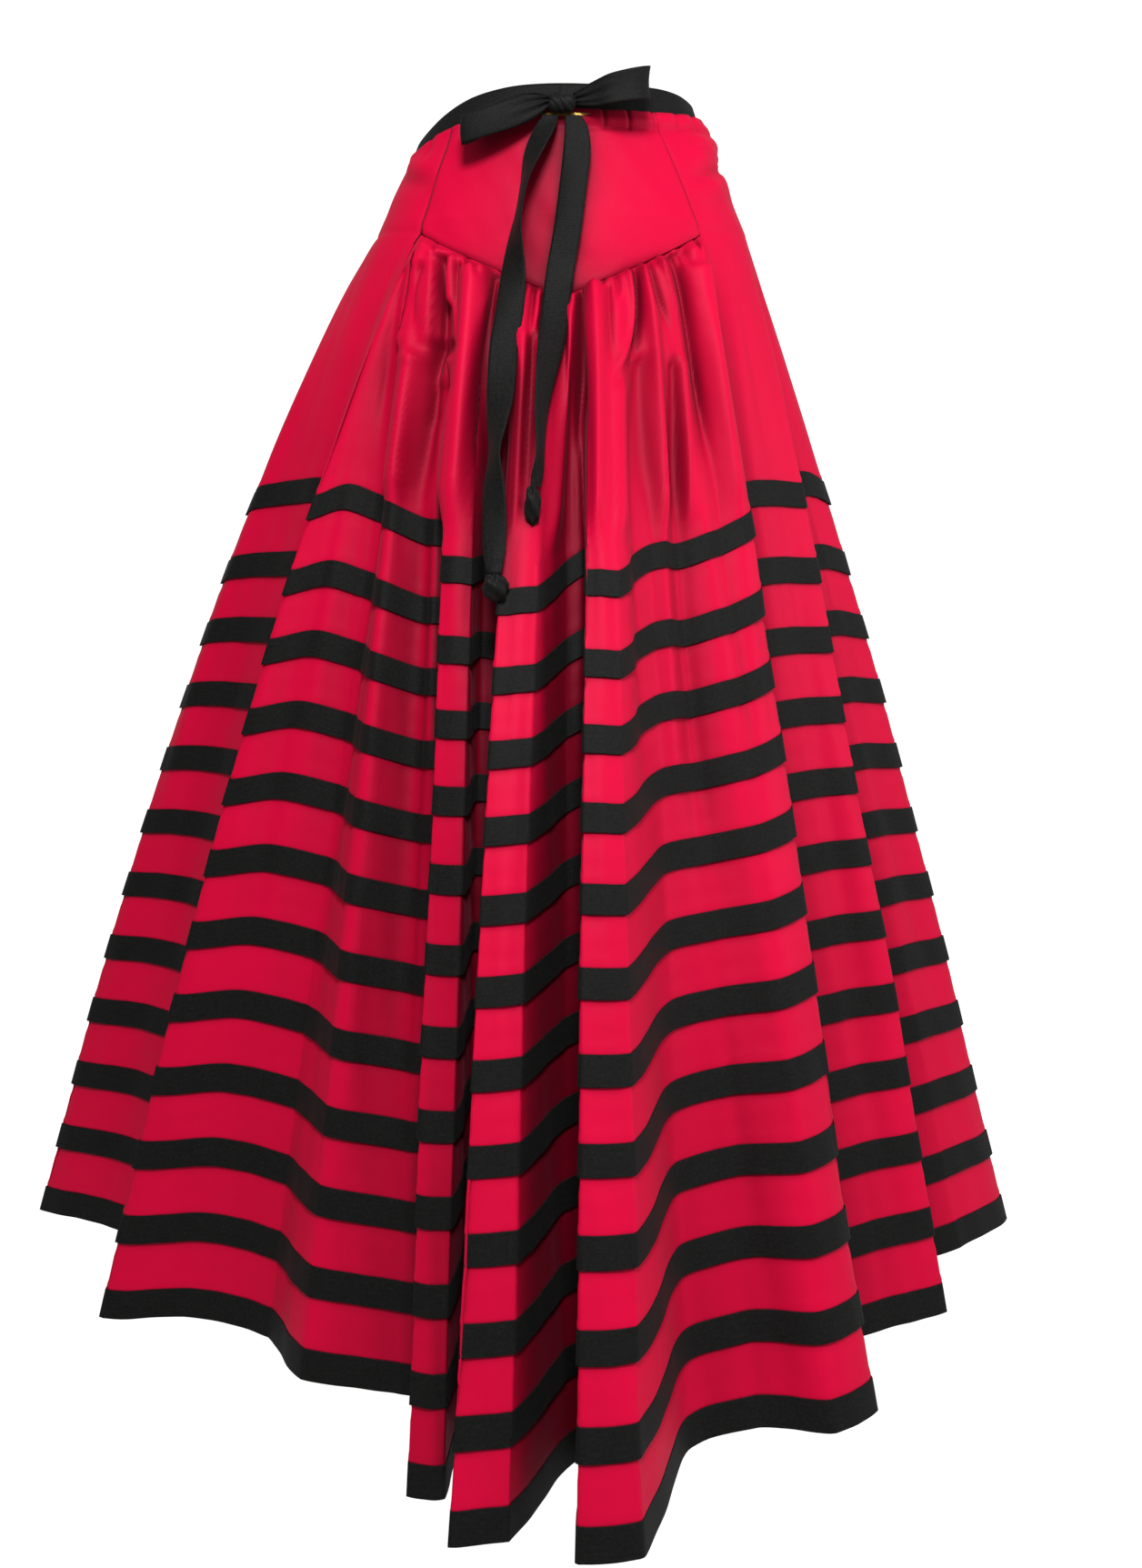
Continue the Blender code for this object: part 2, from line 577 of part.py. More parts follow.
def yoke():
    """Pointed front yoke, on the figure from the pointed seam to the waist."""
    line = gather_lines()[::2]
    beyond = [columns(*FRONT_SEAMS, spare=1)[end] - LINE_COUNT for end in (0, -1)]
    line = np.concatenate([beyond[:1], line, beyond[1:]])
    rows = [above_hip(line, share) for share in (0.0, *WAIST_SHARES)]
    return wall(*both_walls(rows, (True, True)))


# ---- ribbon bands ----------------------------------------------------------
def ribbon_band(number, line, rows):
    """Ribbon on the panels' own columns, moved out, from the wrap's outer edge round to its under edge."""
    low = band_edge(number)
    cell = max(i for i, height in enumerate(ROW_HEIGHTS) if height <= low + 1e-9)
    below, above = rows[cell], rows[cell + 1]
    height = ROW_HEIGHTS[cell + 1] - ROW_HEIGHTS[cell]
    inside = layer(line - LINE_COUNT)
    result = []
    for out in (SEAM_GAP, SEAM_GAP + BAND_THICK):
        start = in_plan(below, inside + out)
        end = in_plan(above, inside + out)
        edges = [(up - ROW_HEIGHTS[cell]) / height for up in (low, low + BAND_WIDTH)]
        result.append([(start + (end - start) * share)[1:-1] for share in edges])
    inner, outer = result
    return wall(outer, inner, sink=False)


# ---- waistband, bow and bar ------------------------------------------------
def ring_wall(low_ring, high_ring, inside, thick):
    """Closed ring between two level curves: outer wall, inner wall, and their edges."""
    loops = [in_plan(ring, np.full(len(ring), -inside - depth), closed=True)
             for ring, depth in ((low_ring, 0), (high_ring, 0), (high_ring, thick), (low_ring, thick))]
    count = len(low_ring)
    points = [p for loop in loops for p in loop]
    faces = []
    for k in range(4):
        for i in range(count):
            a, b = k * count + i, k * count + (i + 1) % count
            c, d = ((k + 1) % 4) * count + (i + 1) % count, ((k + 1) % 4) * count + i
            faces += [(a, b, c), (a, c, d)]
    return points, faces


def waistband():
    """Ribbon round the waist, standing on the cloth's top edge."""
    degrees = np.arange(0.0, 360.0, WAISTBAND_STEP)
    upright = 1.0 - WAISTBAND_ROLLED * np.sin(np.radians(degrees)) ** 6
    rings = []
    for rise in (SEAM_GAP, WAISTBAND_HEIGHT * upright):
        z = waist_height(degrees) + rise
        x, y = body_ring(degrees, z)
        rings.append(np.stack([x, y, z], axis=1))
    return ring_wall(*rings, inside=WAISTBAND_INSIDE, thick=WAISTBAND_THICK)


def front_depth(x, z):
    """Furthest reach of the cloth towards the front at a place across and a height."""
    line = np.linspace(*FRONT_SEAMS, 500)
    hip = line_values(line)[:, 0]
    top = hip_height(hip)
    hem = flare(line, np.ones(len(line)))[:, 2]
    down = np.clip((top - z) / (top - hem), 0.0, 1.0)
    cloth = flare(line, down)
    on_body_x, on_body_y = body_ring(hip, z)
    is_above = z > top
    across = np.where(is_above, on_body_x, cloth[:, 0])
    reach = np.where(is_above, on_body_y, cloth[:, 1])
    near = np.abs(across - x) < TAIL_REACH
    return float(reach[near].min())


def knot_depth(knot):
    """How far forward the knot at a tail's end hangs."""
    return front_depth(knot["x"], knot["z"]) - TAIL_CLEAR - KNOT_PROUD * knot["radii"][1]


def tail(rows, knot):
    """Hanging ribbon end: follows the cloth, turns away from it where it twists, and ends on its knot."""
    front, behind = [], []
    for number, (z, x, twist, share) in enumerate(rows, start=1):
        half = TIE_WIDTH * share / 2
        turn = math.radians(twist)
        clear = TAIL_CLEAR + half * abs(math.sin(turn))
        depth = front_depth(x, z) - clear if number < len(rows) else knot_depth(knot)
        centre = np.array([x, depth, z])
        across = np.array([math.cos(turn), -math.sin(turn), 0.0])
        thick = np.array([math.sin(turn), math.cos(turn), 0.0]) * TIE_THICK / 2
        edges = np.array([centre - across * half, centre + across * half])
        front.append(edges - thick)
        behind.append(edges + thick)
    return wall(front[::-1], behind[::-1])


def tail_knot(knot):
    """Tied end of a tail, a rounded lump."""
    x, z = knot["x"], knot["z"]
    rx, ry, rz = knot["radii"]
    centre = np.array([x, knot_depth(knot), z])
    sections = []
    for height in np.linspace(-0.94, 0.94, 6):
        ring = math.sqrt(1 - height * height)
        turn = np.arange(10) * 2 * math.pi / 10
        sections.append([centre + np.array([rx * ring * math.cos(t), ry * ring * math.sin(t), rz * height])
                         for t in turn])
    return tube(sections)


def loop(rows):
    """Loop of the bow: one strip out from the knot, round its end and back."""
    path = np.array([row[:3] for row in rows])
    run = np.gradient(path, axis=0)
    run /= np.linalg.norm(run, axis=1)[:, None]
    outside, inside = [], []
    for place, along, row in zip(path, run, rows):
        side = np.array([along[1], -along[0], 0.0])
        side /= np.linalg.norm(side)
        up = np.cross(side, along)
        up /= np.linalg.norm(up)
        half = up * TIE_WIDTH * row[3] / 2
        thick = side * TIE_THICK / 2
        edges = np.array([place - half, place + half])
        outside.append(edges - thick)
        inside.append(edges + thick)
    return wall(outside, inside)


def bow_knot():
    """Knot of the bow: a rounded block."""
    turn = np.arange(12) * 2 * math.pi / 12
    depth = np.where(np.cos(turn) > 0, BOW_KNOT["back"], BOW_KNOT["front"]) * np.cos(turn)
    rise = BOW_KNOT["height"] / 2 * np.sin(turn)
    sections = []
    for across in np.linspace(-1.0, 1.0, 7):
        ring = 1 - BOW_KNOT["waist"] * across * across
        sections.append(np.stack([np.full(12, BOW_KNOT["width"] / 2 * across),
                                  BOW_KNOT["y"] + depth * ring,
                                  BOW_KNOT["z"] + rise * ring], axis=1))
    return tube(sections)


def gold_bar():
    """Slim bar that lies on the cloth's top edge behind the knot."""
    x = np.linspace(*GOLD_BAR["x_ends"], 9)
    z = GOLD_BAR["z"]
    half_width, front = (np.interp(z, [r[0] for r in BODY_RINGS[::-1]], [r[i] for r in BODY_RINGS[::-1]])
                         for i in (1, 2))
    y = -front * np.sqrt(1 - (x / half_width) ** 2) - SEAM_GAP - BAR_SAG
    back = np.stack([x, y, np.full(9, z)], axis=1)
    rise = np.array([0, 0, GOLD_BAR["height"] / 2])
    out = np.array([0, -GOLD_BAR["thick"], 0])
    edges = [back - rise, back + rise]
    return wall([edge + out for edge in edges], edges)


def build():
    """Make every piece of the skirt."""
    for old in list(bpy.data.objects):
        bpy.data.objects.remove(old, do_unlink=True)
    right_front = FRONT_SEAMS[1]
    left_side, right_side = SIDE_SEAMS
    add_node("front_yoke", yoke(), RED)
    add_node("front_gathered", front_panel(), RED)
    add_node("side_front_left", side_panel(left_side, LINE_COUNT, (True, True)), RED)
    add_node("side_front_right", side_panel(right_front, right_side, (True, True)), RED)
    add_node("back_right", side_panel(right_side, WRAP_UNDER_LINE, (True, False), wrapped=True), RED)
    add_node("back_left", side_panel(WRAP_OUTER_LINE, left_side, (False, True)), RED)
    line = columns(WRAP_OUTER_LINE, LINE_COUNT + WRAP_UNDER_LINE, spare=1)
    rows = flare_rows(line)
    for number in range(1, BAND_COUNT + 1):
        add_node(f"ribbon_{number:02d}", ribbon_band(number, line, rows), BLACK)
    add_node("waistband", waistband(), BLACK)
    add_node("bow_knot", bow_knot(), BLACK)
    add_node("bow_loop_left", loop(LEFT_LOOP), BLACK)
    add_node("bow_loop_right", loop(RIGHT_LOOP), BLACK)
    add_node("tail_left", tail(LEFT_TAIL, LEFT_KNOT), BLACK)
    add_node("tail_right", tail(RIGHT_TAIL, RIGHT_KNOT), BLACK)
    add_node("tail_knot_left", tail_knot(LEFT_KNOT), BLACK)
    add_node("tail_knot_right", tail_knot(RIGHT_KNOT), BLACK)
    add_node("gold_bar", gold_bar(), GOLD)


build()
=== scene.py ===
"""Dresses the frame of a long red wrap skirt: satin panels, ribbon bands, waist ribbon and bow.

Every cloth is a thin shell on a surface of two parameters: a line number round the skirt, which
runs through the table of folds, and a height up from the hem along the cloth.
"""
import math

import bpy
import numpy as np
from bpy.props import FloatProperty, FloatVectorProperty, PointerProperty
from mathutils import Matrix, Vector


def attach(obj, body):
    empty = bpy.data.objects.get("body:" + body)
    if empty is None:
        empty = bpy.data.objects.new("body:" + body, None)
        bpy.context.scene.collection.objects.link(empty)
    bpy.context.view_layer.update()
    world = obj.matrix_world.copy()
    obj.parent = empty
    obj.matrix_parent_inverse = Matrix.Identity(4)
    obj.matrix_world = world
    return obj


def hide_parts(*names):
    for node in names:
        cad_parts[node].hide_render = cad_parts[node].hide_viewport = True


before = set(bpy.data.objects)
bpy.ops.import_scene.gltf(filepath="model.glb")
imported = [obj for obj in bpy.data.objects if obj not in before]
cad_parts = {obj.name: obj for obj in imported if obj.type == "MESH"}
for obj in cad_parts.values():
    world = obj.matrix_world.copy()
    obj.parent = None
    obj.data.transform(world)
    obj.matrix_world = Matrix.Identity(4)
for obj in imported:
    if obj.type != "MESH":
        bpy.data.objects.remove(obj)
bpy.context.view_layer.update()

bl_info = {
    "name": "Ribbon-banded wrap skirt",
    "version": (1, 0, 0),
    "blender": (4, 5, 0),
    "location": "View3D > Sidebar > Skirt",
    "description": "Satin panels, ribbon bands, waist ribbon and bow of a long wrap skirt",
    "category": "Object",
}


# ---- the cut's sizes, in metres ----------------------------------------------
SEAM_GAP = 0.0003
BAND_WIDTH = 0.0224
BAND_PITCH = 0.0600       # from one band's lower edge to the next, along the cloth
FIRST_BAND_EXTRA = 0.0065
BAND_COUNT = 12
YOKE_POINT_Z = -0.163
YOKE_CORNER_Z = -0.103
SIDE_HIP_Z = -0.095
YOKE_CORNER_DEG = 46.0
YOKE_TOP_RIGHT_DEG = 39.2
SIDE_HIP_BLEND = 20.0
SEAM_LEAN_BLEND = 30.0
SIDE_HEM_Z = -0.981
FRONT_HEM_DROP = 0.088
BACK_HEM_DROP = 0.030
SWELL_POWER = 0.75
WAIST_ROLL = 0.013
WAIST_DIP = 0.003
WAIST_LEFT_DIP = 0.011
WRAP_LAYER = 0.0043
WRAP_OUTER_LINE = 34.25
WRAP_UNDER_LINE = 36.75
WRAP_TURN = (33.2, 34.2)
WAISTBAND_HEIGHT = 0.0232
WAISTBAND_BELOW = 0.0030  # how far it reaches down inside the cloth
WAISTBAND_ROLLED = 0.50   # share by which its top edge is lower at the sides
WAISTBAND_INSIDE = 0.988  # share of the figure's radius, so that it lies just inside the cloth
WAIST_RADIUS = 0.118
TIE_WIDTH = 0.0235
TAIL_CLEAR = 0.0062
TAIL_REACH = 0.014
KNOT_PROUD = 0.3
TAIL_CURL = 0.0016
LOOP_PLEAT = 0.0016       # depth of the loops' pleats where the knot gathers them
LOOP_CURVE = 0.0010       # how far a loop's middle stands proud of its edges
DRAPE_SLOW = 0.0024       # the hanging cloth's long waves and its shorter ones
DRAPE_QUICK = 0.0012
GATHER_PUFF = 0.0075      # how far the cloth puffs out under the yoke
BAND_STAND_OFF = 0.0009   # a band stands off the cloth, and its lower edge a little more
BAND_LIFT = 0.0004
BAND_TROUGH = 0.0007      # the cloth's trough under a band's lower edge
BAND_SWELL = 0.0006       # its swell over a band's upper edge
BAND_BESIDE = 0.0035      # how far from the edge both lie
SEAM_ROLL = (0.0008, 0.0025)      # depth and half width of the cloth's roll at a seam
FLOOR_Z = -1.085

# ---- the figure's rings: height, half width, depth to the front and to the back ----
BODY_RINGS = np.array((
    # z       half_width  front   back
    (0.030,   0.1180,     0.088,  0.086),
    (0.000,   0.1270,     0.093,  0.090),
    (-0.030,  0.1390,     0.098,  0.100),
    (-0.060,  0.1530,     0.102,  0.109),
    (-0.092,  0.1660,     0.107,  0.118),
    (-0.130,  0.1720,     0.111,  0.125),
    (-0.165,  0.1760,     0.116,  0.130),
))[::-1]

# ---- the folds: where each line leaves the hip and where it meets the hem ----
FOLD_LINES = (
    # name        hip    hem_x   hem_y   bell  pitch  lift
    ("B_left",   -46.6, -0.372, -0.157,  0.10, 1.000, 0.000),
    ("B_face",   -45.8, -0.300, -0.163,  0.10, 0.995, 0.004),
    ("B_step",   -45.0, -0.231, -0.185,  0.08, 0.985, 0.000),
    ("B_ridge",  -44.0, -0.195, -0.246,  0.08, 0.980, 0.004),
    ("B_right",  -36.2, -0.125, -0.258,  0.08, 0.965, 0.000),
    ("BC_val",   -34.0, -0.088, -0.270,  0.08, 0.965, 0.000),
    ("C_left",   -30.0, -0.106, -0.352,  0.10, 0.965, -0.012),
    ("C_right",  -21.5, -0.081, -0.358,  0.10, 0.960, -0.010),
    ("CD_val",   -18.5, -0.073, -0.297,  0.10, 0.930, 0.000),
    ("CD_bed",   -14.0, -0.045, -0.291,  0.10, 0.920, 0.000),
    ("D_left",    -9.5, -0.073, -0.418,  0.12, 0.930, 0.000),
    ("D_right",   -3.0, -0.034, -0.416,  0.12, 0.930, 0.002),
    ("DE_val",     1.0,  0.002, -0.341,  0.12, 0.935, 0.000),
    ("DE_bed",     4.5,  0.027, -0.325,  0.12, 0.945, 0.000),
    ("E_left",     7.5,  0.010, -0.433,  0.12, 0.960, 0.000),
    ("E_right",   13.0,  0.050, -0.427,  0.12, 0.955, 0.000),
    ("EF_val",    20.0,  0.090, -0.320,  0.10, 0.950, 0.000),
    ("F_left",    28.0,  0.140, -0.306,  0.05, 0.946, 0.006),
    ("F_mid",     38.0,  0.194, -0.316,  0.03, 0.970, 0.008),
    ("F_right",   45.5,  0.229, -0.287,  0.02, 0.985, 0.006),
    ("FG_val",    50.0,  0.205, -0.205,  0.03, 1.000, 0.000),
    ("G_left",    62.0,  0.255, -0.178,  0.05, 1.000, 0.003),
    ("G_right",   76.0,  0.311, -0.155,  0.06, 1.000, 0.003),
    ("GH_val",    82.0,  0.290, -0.085,  0.05, 1.000, 0.000),
    ("H_left",    88.0,  0.345, -0.062,  0.05, 1.000, 0.006),
    ("H_right",   95.0,  0.405,  0.000,  0.06, 1.000, 0.000),
    ("HI_val",   101.0,  0.350,  0.070,  0.05, 1.000, 0.000),
    ("I_ridge",  110.0,  0.398,  0.130,  0.06, 1.000, 0.000),
    ("IJ_val",   118.0,  0.318,  0.178,  0.06, 1.000, 0.000),
    ("J_ridge",  127.0,  0.324,  0.252,  0.07, 1.000, 0.002),
    ("JK_val",   135.0,  0.262,  0.274,  0.07, 1.000, 0.000),
    ("K_ridge",  143.0,  0.254,  0.366,  0.08, 1.000, 0.003),
    ("KL_val",   151.0,  0.152,  0.302,  0.08, 1.000, 0.000),
    ("L_ridge",  159.0,  0.120,  0.398,  0.08, 1.000, 0.004),
    ("LM_val",   167.0,  0.078,  0.358,  0.08, 1.000, 0.000),
    ("M_ridge",  176.0,  0.012,  0.438,  0.08, 1.000, 0.000),
    ("MN_val",   185.0, -0.050,  0.334,  0.08, 1.000, 0.000),
    ("N_ridge",  193.0, -0.100,  0.414,  0.08, 1.000, 0.003),
    ("NO_val",   201.0, -0.160,  0.346,  0.08, 1.000, 0.000),
    ("O_ridge",  209.0, -0.234,  0.390,  0.08, 1.000, 0.002),
    ("OP_val",   218.0, -0.272,  0.268,  0.08, 1.000, 0.000),
    ("P_ridge",  227.0, -0.346,  0.266,  0.08, 1.000, 0.000),
    ("PQ_val",   237.0, -0.350,  0.188,  0.09, 1.000, 0.000),
    ("Q_ridge",  247.0, -0.440,  0.158,  0.10, 1.000, 0.003),
    ("QA_val",   257.0, -0.400,  0.085,  0.11, 1.000, 0.000),
    ("A_ridge",  268.0, -0.480,  0.020,  0.11, 1.000, 0.000),
    ("A_front",  288.0, -0.412, -0.012,  0.11, 1.000, 0.000),
    ("AB_val",   308.0, -0.345, -0.068,  0.11, 1.000, 0.000),
)
LINE_NAMES = [row[0] for row in FOLD_LINES]
LINE_COUNT = len(FOLD_LINES)
LINE_VALUES = np.array([row[1:7] for row in FOLD_LINES])
FRONT_SEAMS = (LINE_NAMES.index("B_left"), LINE_NAMES.index("F_right"))
SIDE_SEAMS = (LINE_NAMES.index("A_ridge"), LINE_NAMES.index("H_right"))

# ---- fold lines with a crease: 1 for a sharp edge, 0 (not listed) for a round one ----
CREASES = {
    "B_left": 0.8, "B_step": 0.6, "B_ridge": 0.5, "B_right": 0.8, "C_left": 1.0, "C_right": 1.0,
    "CD_val": 0.6, "CD_bed": 0.6, "D_left": 1.0, "D_right": 1.0, "DE_val": 0.5, "DE_bed": 0.5,
    "E_left": 1.0, "E_right": 0.9, "EF_val": 0.2, "F_left": 0.5, "F_mid": 0.2, "F_right": 0.7,
    "G_left": 0.6, "G_right": 0.8, "H_left": 0.6, "H_right": 0.6, "J_ridge": 0.5, "L_ridge": 0.6,
    "M_ridge": 0.6, "O_ridge": 0.5, "Q_ridge": 0.5, "A_ridge": 0.6, "A_front": 0.5,
}
CREASE_DEPTH = 0.85
CREASE_TOP = (0.0, 0.18)     # shares of the way down between which the creases set in
CREASE_ROWS = 2.2            # how many more mesh lines run along a sharp crease
CREASE_HALF = 0.006          # within this half width of it
CREASE_SHARES = np.array([CREASES.get(name, 0.0) for name in LINE_NAMES])

# ---- small gathers under the yoke: each is a trough that starts at the seam and dies out ----
GATHERS = (
    # hip     depth    half    length  drift
    # degrees          degrees         degrees a metre
    (-44.6,   0.0030,  0.60,   0.040,    0.0),
    (-38.9,   0.0040,  0.70,   0.034,    5.0),
    (-27.4,   0.0050,  0.70,   0.024,    0.0),
    (-16.6,   0.0060,  0.80,   0.050,    4.0),
    (-13.4,   0.0080,  0.90,   0.110,    0.0),
    (-10.2,   0.0050,  0.70,   0.034,    0.0),
    (-7.6,    0.0070,  0.80,   0.090,    0.0),
    (-1.8,    0.0055,  0.70,   0.040,    8.0),
    (2.2,     0.0045,  0.60,   0.026,    0.0),
    (11.6,    0.0045,  0.60,   0.022,    0.0),
    (21.6,    0.0040,  0.60,   0.024,    0.0),
    (35.2,    0.0040,  0.70,   0.026,   10.0),
    (42.6,    0.0035,  0.60,   0.022,    0.0),
)

# ---- the camera that took the photograph: level, in front of the waist's centre ----
PHOTO_WIDTH, PHOTO_HEIGHT = 1256, 1724
LEVEL_COLUMN, LEVEL_ROW = 618, 600      # the pixel that the camera looks straight at
FOCAL_PIXELS = 1757
CAMERA_BACK = 1.45
CAMERA_Z = -0.371

# ---- creases placed on the front: height above 0 for a ridge, below 0 for a trough ----
FRONT_CREASES = (
    # column and row in the photograph      metres
    # top         middle       low end      half    height
    ((446, 300), (427, 400), (414, 530), 0.0046, -0.0040),
    ((457, 285), (444, 345), (443, 392), 0.0046, 0.0035),
    ((446, 372), (452, 396), (466, 410), 0.0046, 0.0025),
    ((464, 298), (456, 345), (464, 388), 0.0038, -0.0060),
    ((480, 283), (474, 335), (468, 392), 0.0038, 0.0045),
    ((456, 395), (446, 460), (433, 560), 0.0099, 0.0080),
    ((488, 288), (490, 335), (483, 425), 0.0070, -0.0110),
    ((484, 380), (478, 440), (461, 578), 0.0070, -0.0100),
    ((500, 290), (499, 312), (498, 340), 0.0023, 0.0050),
    ((494, 395), (490, 408), (486, 425), 0.0053, 0.0060),
    ((478, 470), (473, 520), (468, 575), 0.0053, 0.0025),
    ((505, 296), (500, 380), (486, 470), 0.0030, -0.0070),
    ((521, 303), (511, 415), (494, 590), 0.0100, 0.0100),
    ((523, 294), (526, 304), (528, 316), 0.0023, -0.0040),
    ((545, 308), (535, 390), (524, 540), 0.0060, -0.0100),
    ((599, 330), (597, 348), (594, 385), 0.0038, -0.0090),
    ((577, 372), (571, 480), (565, 600), 0.0038, 0.0040),
    ((586, 375), (582, 470), (577, 580), 0.0030, -0.0050),
    ((630, 332), (619, 450), (607, 620), 0.0046, 0.0050),
    ((641, 326), (640, 412), (636, 506), 0.0030, -0.0100),
    ((655, 322), (658, 450), (654, 610), 0.0061, 0.0080),
    ((669, 322), (670, 370), (676, 420), 0.0030, -0.0045),
    ((690, 303), (692, 345), (674, 418), 0.0030, 0.0040),
    ((698, 298), (699, 345), (690, 420), 0.0034, -0.0080),
    ((677, 308), (678, 322), (676, 338), 0.0023, -0.0040),
    ((704, 296), (718, 390), (728, 610), 0.0053, 0.0080),
    ((711, 288), (722, 335), (741, 378), 0.0038, -0.0070),
    ((723, 283), (733, 312), (746, 350), 0.0023, 0.0035),
    ((739, 282), (764, 400), (779, 535), 0.0054, -0.0120),
    ((746, 261), (752, 282), (760, 304), 0.0038, -0.0070),
    ((760, 252), (764, 264), (768, 280), 0.0023, -0.0040),
    ((739, 400), (743, 480), (746, 580), 0.0038, -0.0055),
    ((752, 400), (757, 490), (758, 590), 0.0050, 0.0040),
    ((702, 400), (704, 500), (705, 600), 0.0068, -0.0060),
    ((683, 430), (685, 510), (684, 600), 0.0050, 0.0035),
    ((772, 300), (800, 450), (822, 590), 0.0122, 0.0080),
    ((729, 275), (734, 285), (741, 300), 0.0023, -0.0040),
    ((718, 281), (722, 292), (727, 306), 0.0019, -0.0030),
)
RIDGE = {"power": 2.0, "fade": 0.22}        # a ridge's profile, and the share over which it dies out
TROUGH = {"power": 1.6, "fade": 0.55}
CREASE_START = 0.008                        # length over which a crease sets in over its top

# ---- the waist: casing along the top edge, tucks in it, and the folds at both sides ----
WAIST_CASING = (
    # below  half    height   sets in between these degrees
    (0.0,    0.0035,  0.0012, -181.0, -180.0),   # all round
    (0.0150, 0.0030, -0.0016,  -20.0,    5.0),
    (0.0075, 0.0050,  0.0022,  -10.0,   20.0),
)
WAIST_TUCKS = (
    # degrees  depth  half
    (16.0, 0.0016, 0.8), (26.0, 0.0020, 0.7), (37.5, 0.0022, 0.6), (52.0, 0.0018, 1.6),
    (66.0, 0.0020, 2.0), (-28.0, 0.0012, 1.2), (-41.0, 0.0016, 1.4), (-58.0, 0.0018, 2.0),
)
# the drape lip at the right: cloth swells over a crease that slants down towards the front
LIP_Z = -0.046
LIP_SLANT = 0.00055                       # metres for a degree
LIP_DEGREES = (40.0, 62.0, 108.0, 128.0)  # sets in between the first two, ends between the others
LIP_FOLDS = (
    # over   slant   half    height
    (0.020,  0.0,    0.0170,  0.0085),
    (0.0,    0.0,    0.0035, -0.0030),
    (-0.011, 0.0,    0.0120,  0.0035),
    (0.012,  0.0006, 0.0028, -0.0014),
    (0.021,  0.0006, 0.0028, -0.0016),
)
# soft folds at the left
LEFT_SLANT = 0.0005
LEFT_DEGREES = (45.0, 58.0, 68.0, 84.0)   # to the left of the front
LEFT_FOLDS = (
    # level   half    height
    (-0.034,  0.010,  0.0035),
    (-0.049,  0.007, -0.0022),
)

# ---- soft folds: ridges (height above 0) and troughs between the main folds ----
SOFT_FOLDS = (
    # line   half    low     high    height
    (1.3,    0.35,   0.10,   0.74,   0.0040),
    (2.3,    0.25,   0.30,   0.80,  -0.0040),
    (3.20,   0.20,   0.04,   0.92,   0.0070),
    (3.85,   0.30,   0.10,   0.78,  -0.0100),
    (4.70,   0.25,   0.40,   0.82,  -0.0050),
    (6.5,    0.30,   0.55,   0.88,   0.0030),
    (8.6,    0.30,   0.35,   0.80,   0.0035),
    (9.3,    0.25,   0.25,   0.50,  -0.0040),
    (10.6,   0.20,   0.30,   0.84,   0.0020),
    (12.6,   0.25,   0.50,   0.80,   0.0030),
    (14.5,   0.25,   0.30,   0.85,   0.0022),
    (15.6,   0.22,   0.42,   0.86,  -0.0050),
    (16.3,   0.22,   0.42,   0.88,   0.0055),
    (16.8,   0.20,   0.35,   0.86,  -0.0060),
    (17.4,   0.26,   0.40,   0.82,   0.0020),
    (17.9,   0.22,   0.38,   0.88,  -0.0050),
    (18.5,   0.22,   0.50,   0.90,   0.0040),
    (18.9,   0.22,   0.55,   0.90,   0.0050),
    (19.6,   0.28,   0.50,   0.90,  -0.0070),
    (20.5,   0.30,   0.40,   0.90,   0.0040),
    (21.3,   0.25,   0.05,   0.70,  -0.0035),
    (22.3,   0.30,   0.45,   0.88,   0.0020),
    (24.4,   0.25,   0.10,   0.60,  -0.0030),
    (26.6,   0.30,   0.20,   0.80,   0.0030),
    (28.5,   0.30,   0.35,   0.86,  -0.0040),
    (30.4,   0.30,   0.10,   0.70,   0.0035),
    (32.5,   0.28,   0.40,   0.90,  -0.0040),
    (34.7,   0.30,   0.25,   0.75,   0.0030),
    (37.4,   0.28,   0.40,   0.88,  -0.0035),
    (39.4,   0.30,   0.15,   0.66,   0.0035),
    (41.5,   0.28,   0.45,   0.88,  -0.0040),
    (43.6,   0.30,   0.20,   0.80,   0.0040),
    (45.4,   0.22,   0.30,   0.85,   0.0040),
    (46.2,   0.22,   0.15,   0.60,  -0.0050),
    (46.7,   0.22,   0.30,   0.75,   0.0030),
    (47.3,   0.22,   0.05,   0.55,  -0.0045),
)

# ---- hanging ends of the bow: height, place across, twist and share of the full width ----
LEFT_TAIL = (
    # z       x        twist  width
    (-0.0074, -0.0095,   0.0, 0.55),
    (-0.0200, -0.0150,  25.0, 0.85),
    (-0.0400, -0.0235,  45.0, 1.00),
    (-0.0640, -0.0306,  70.0, 1.00),
    (-0.0880, -0.0352,  76.0, 1.00),
    (-0.1120, -0.0390,  64.0, 1.00),
    (-0.1430, -0.0405,  32.0, 1.00),
    (-0.1757, -0.0428,   5.0, 1.00),
    (-0.2053, -0.0466,   0.0, 1.00),
    (-0.2300, -0.0480,  10.0, 1.00),
    (-0.2539, -0.0492,  25.0, 1.00),
    (-0.2780, -0.0515,  50.0, 1.00),
    (-0.2997, -0.0530,  66.0, 1.00),
    (-0.3260, -0.0525,  40.0, 0.90),
    (-0.3517, -0.0517,  22.0, 0.85),
    (-0.3760, -0.0518,  15.0, 0.75),
    (-0.3925, -0.0508,  10.0, 0.45),
)
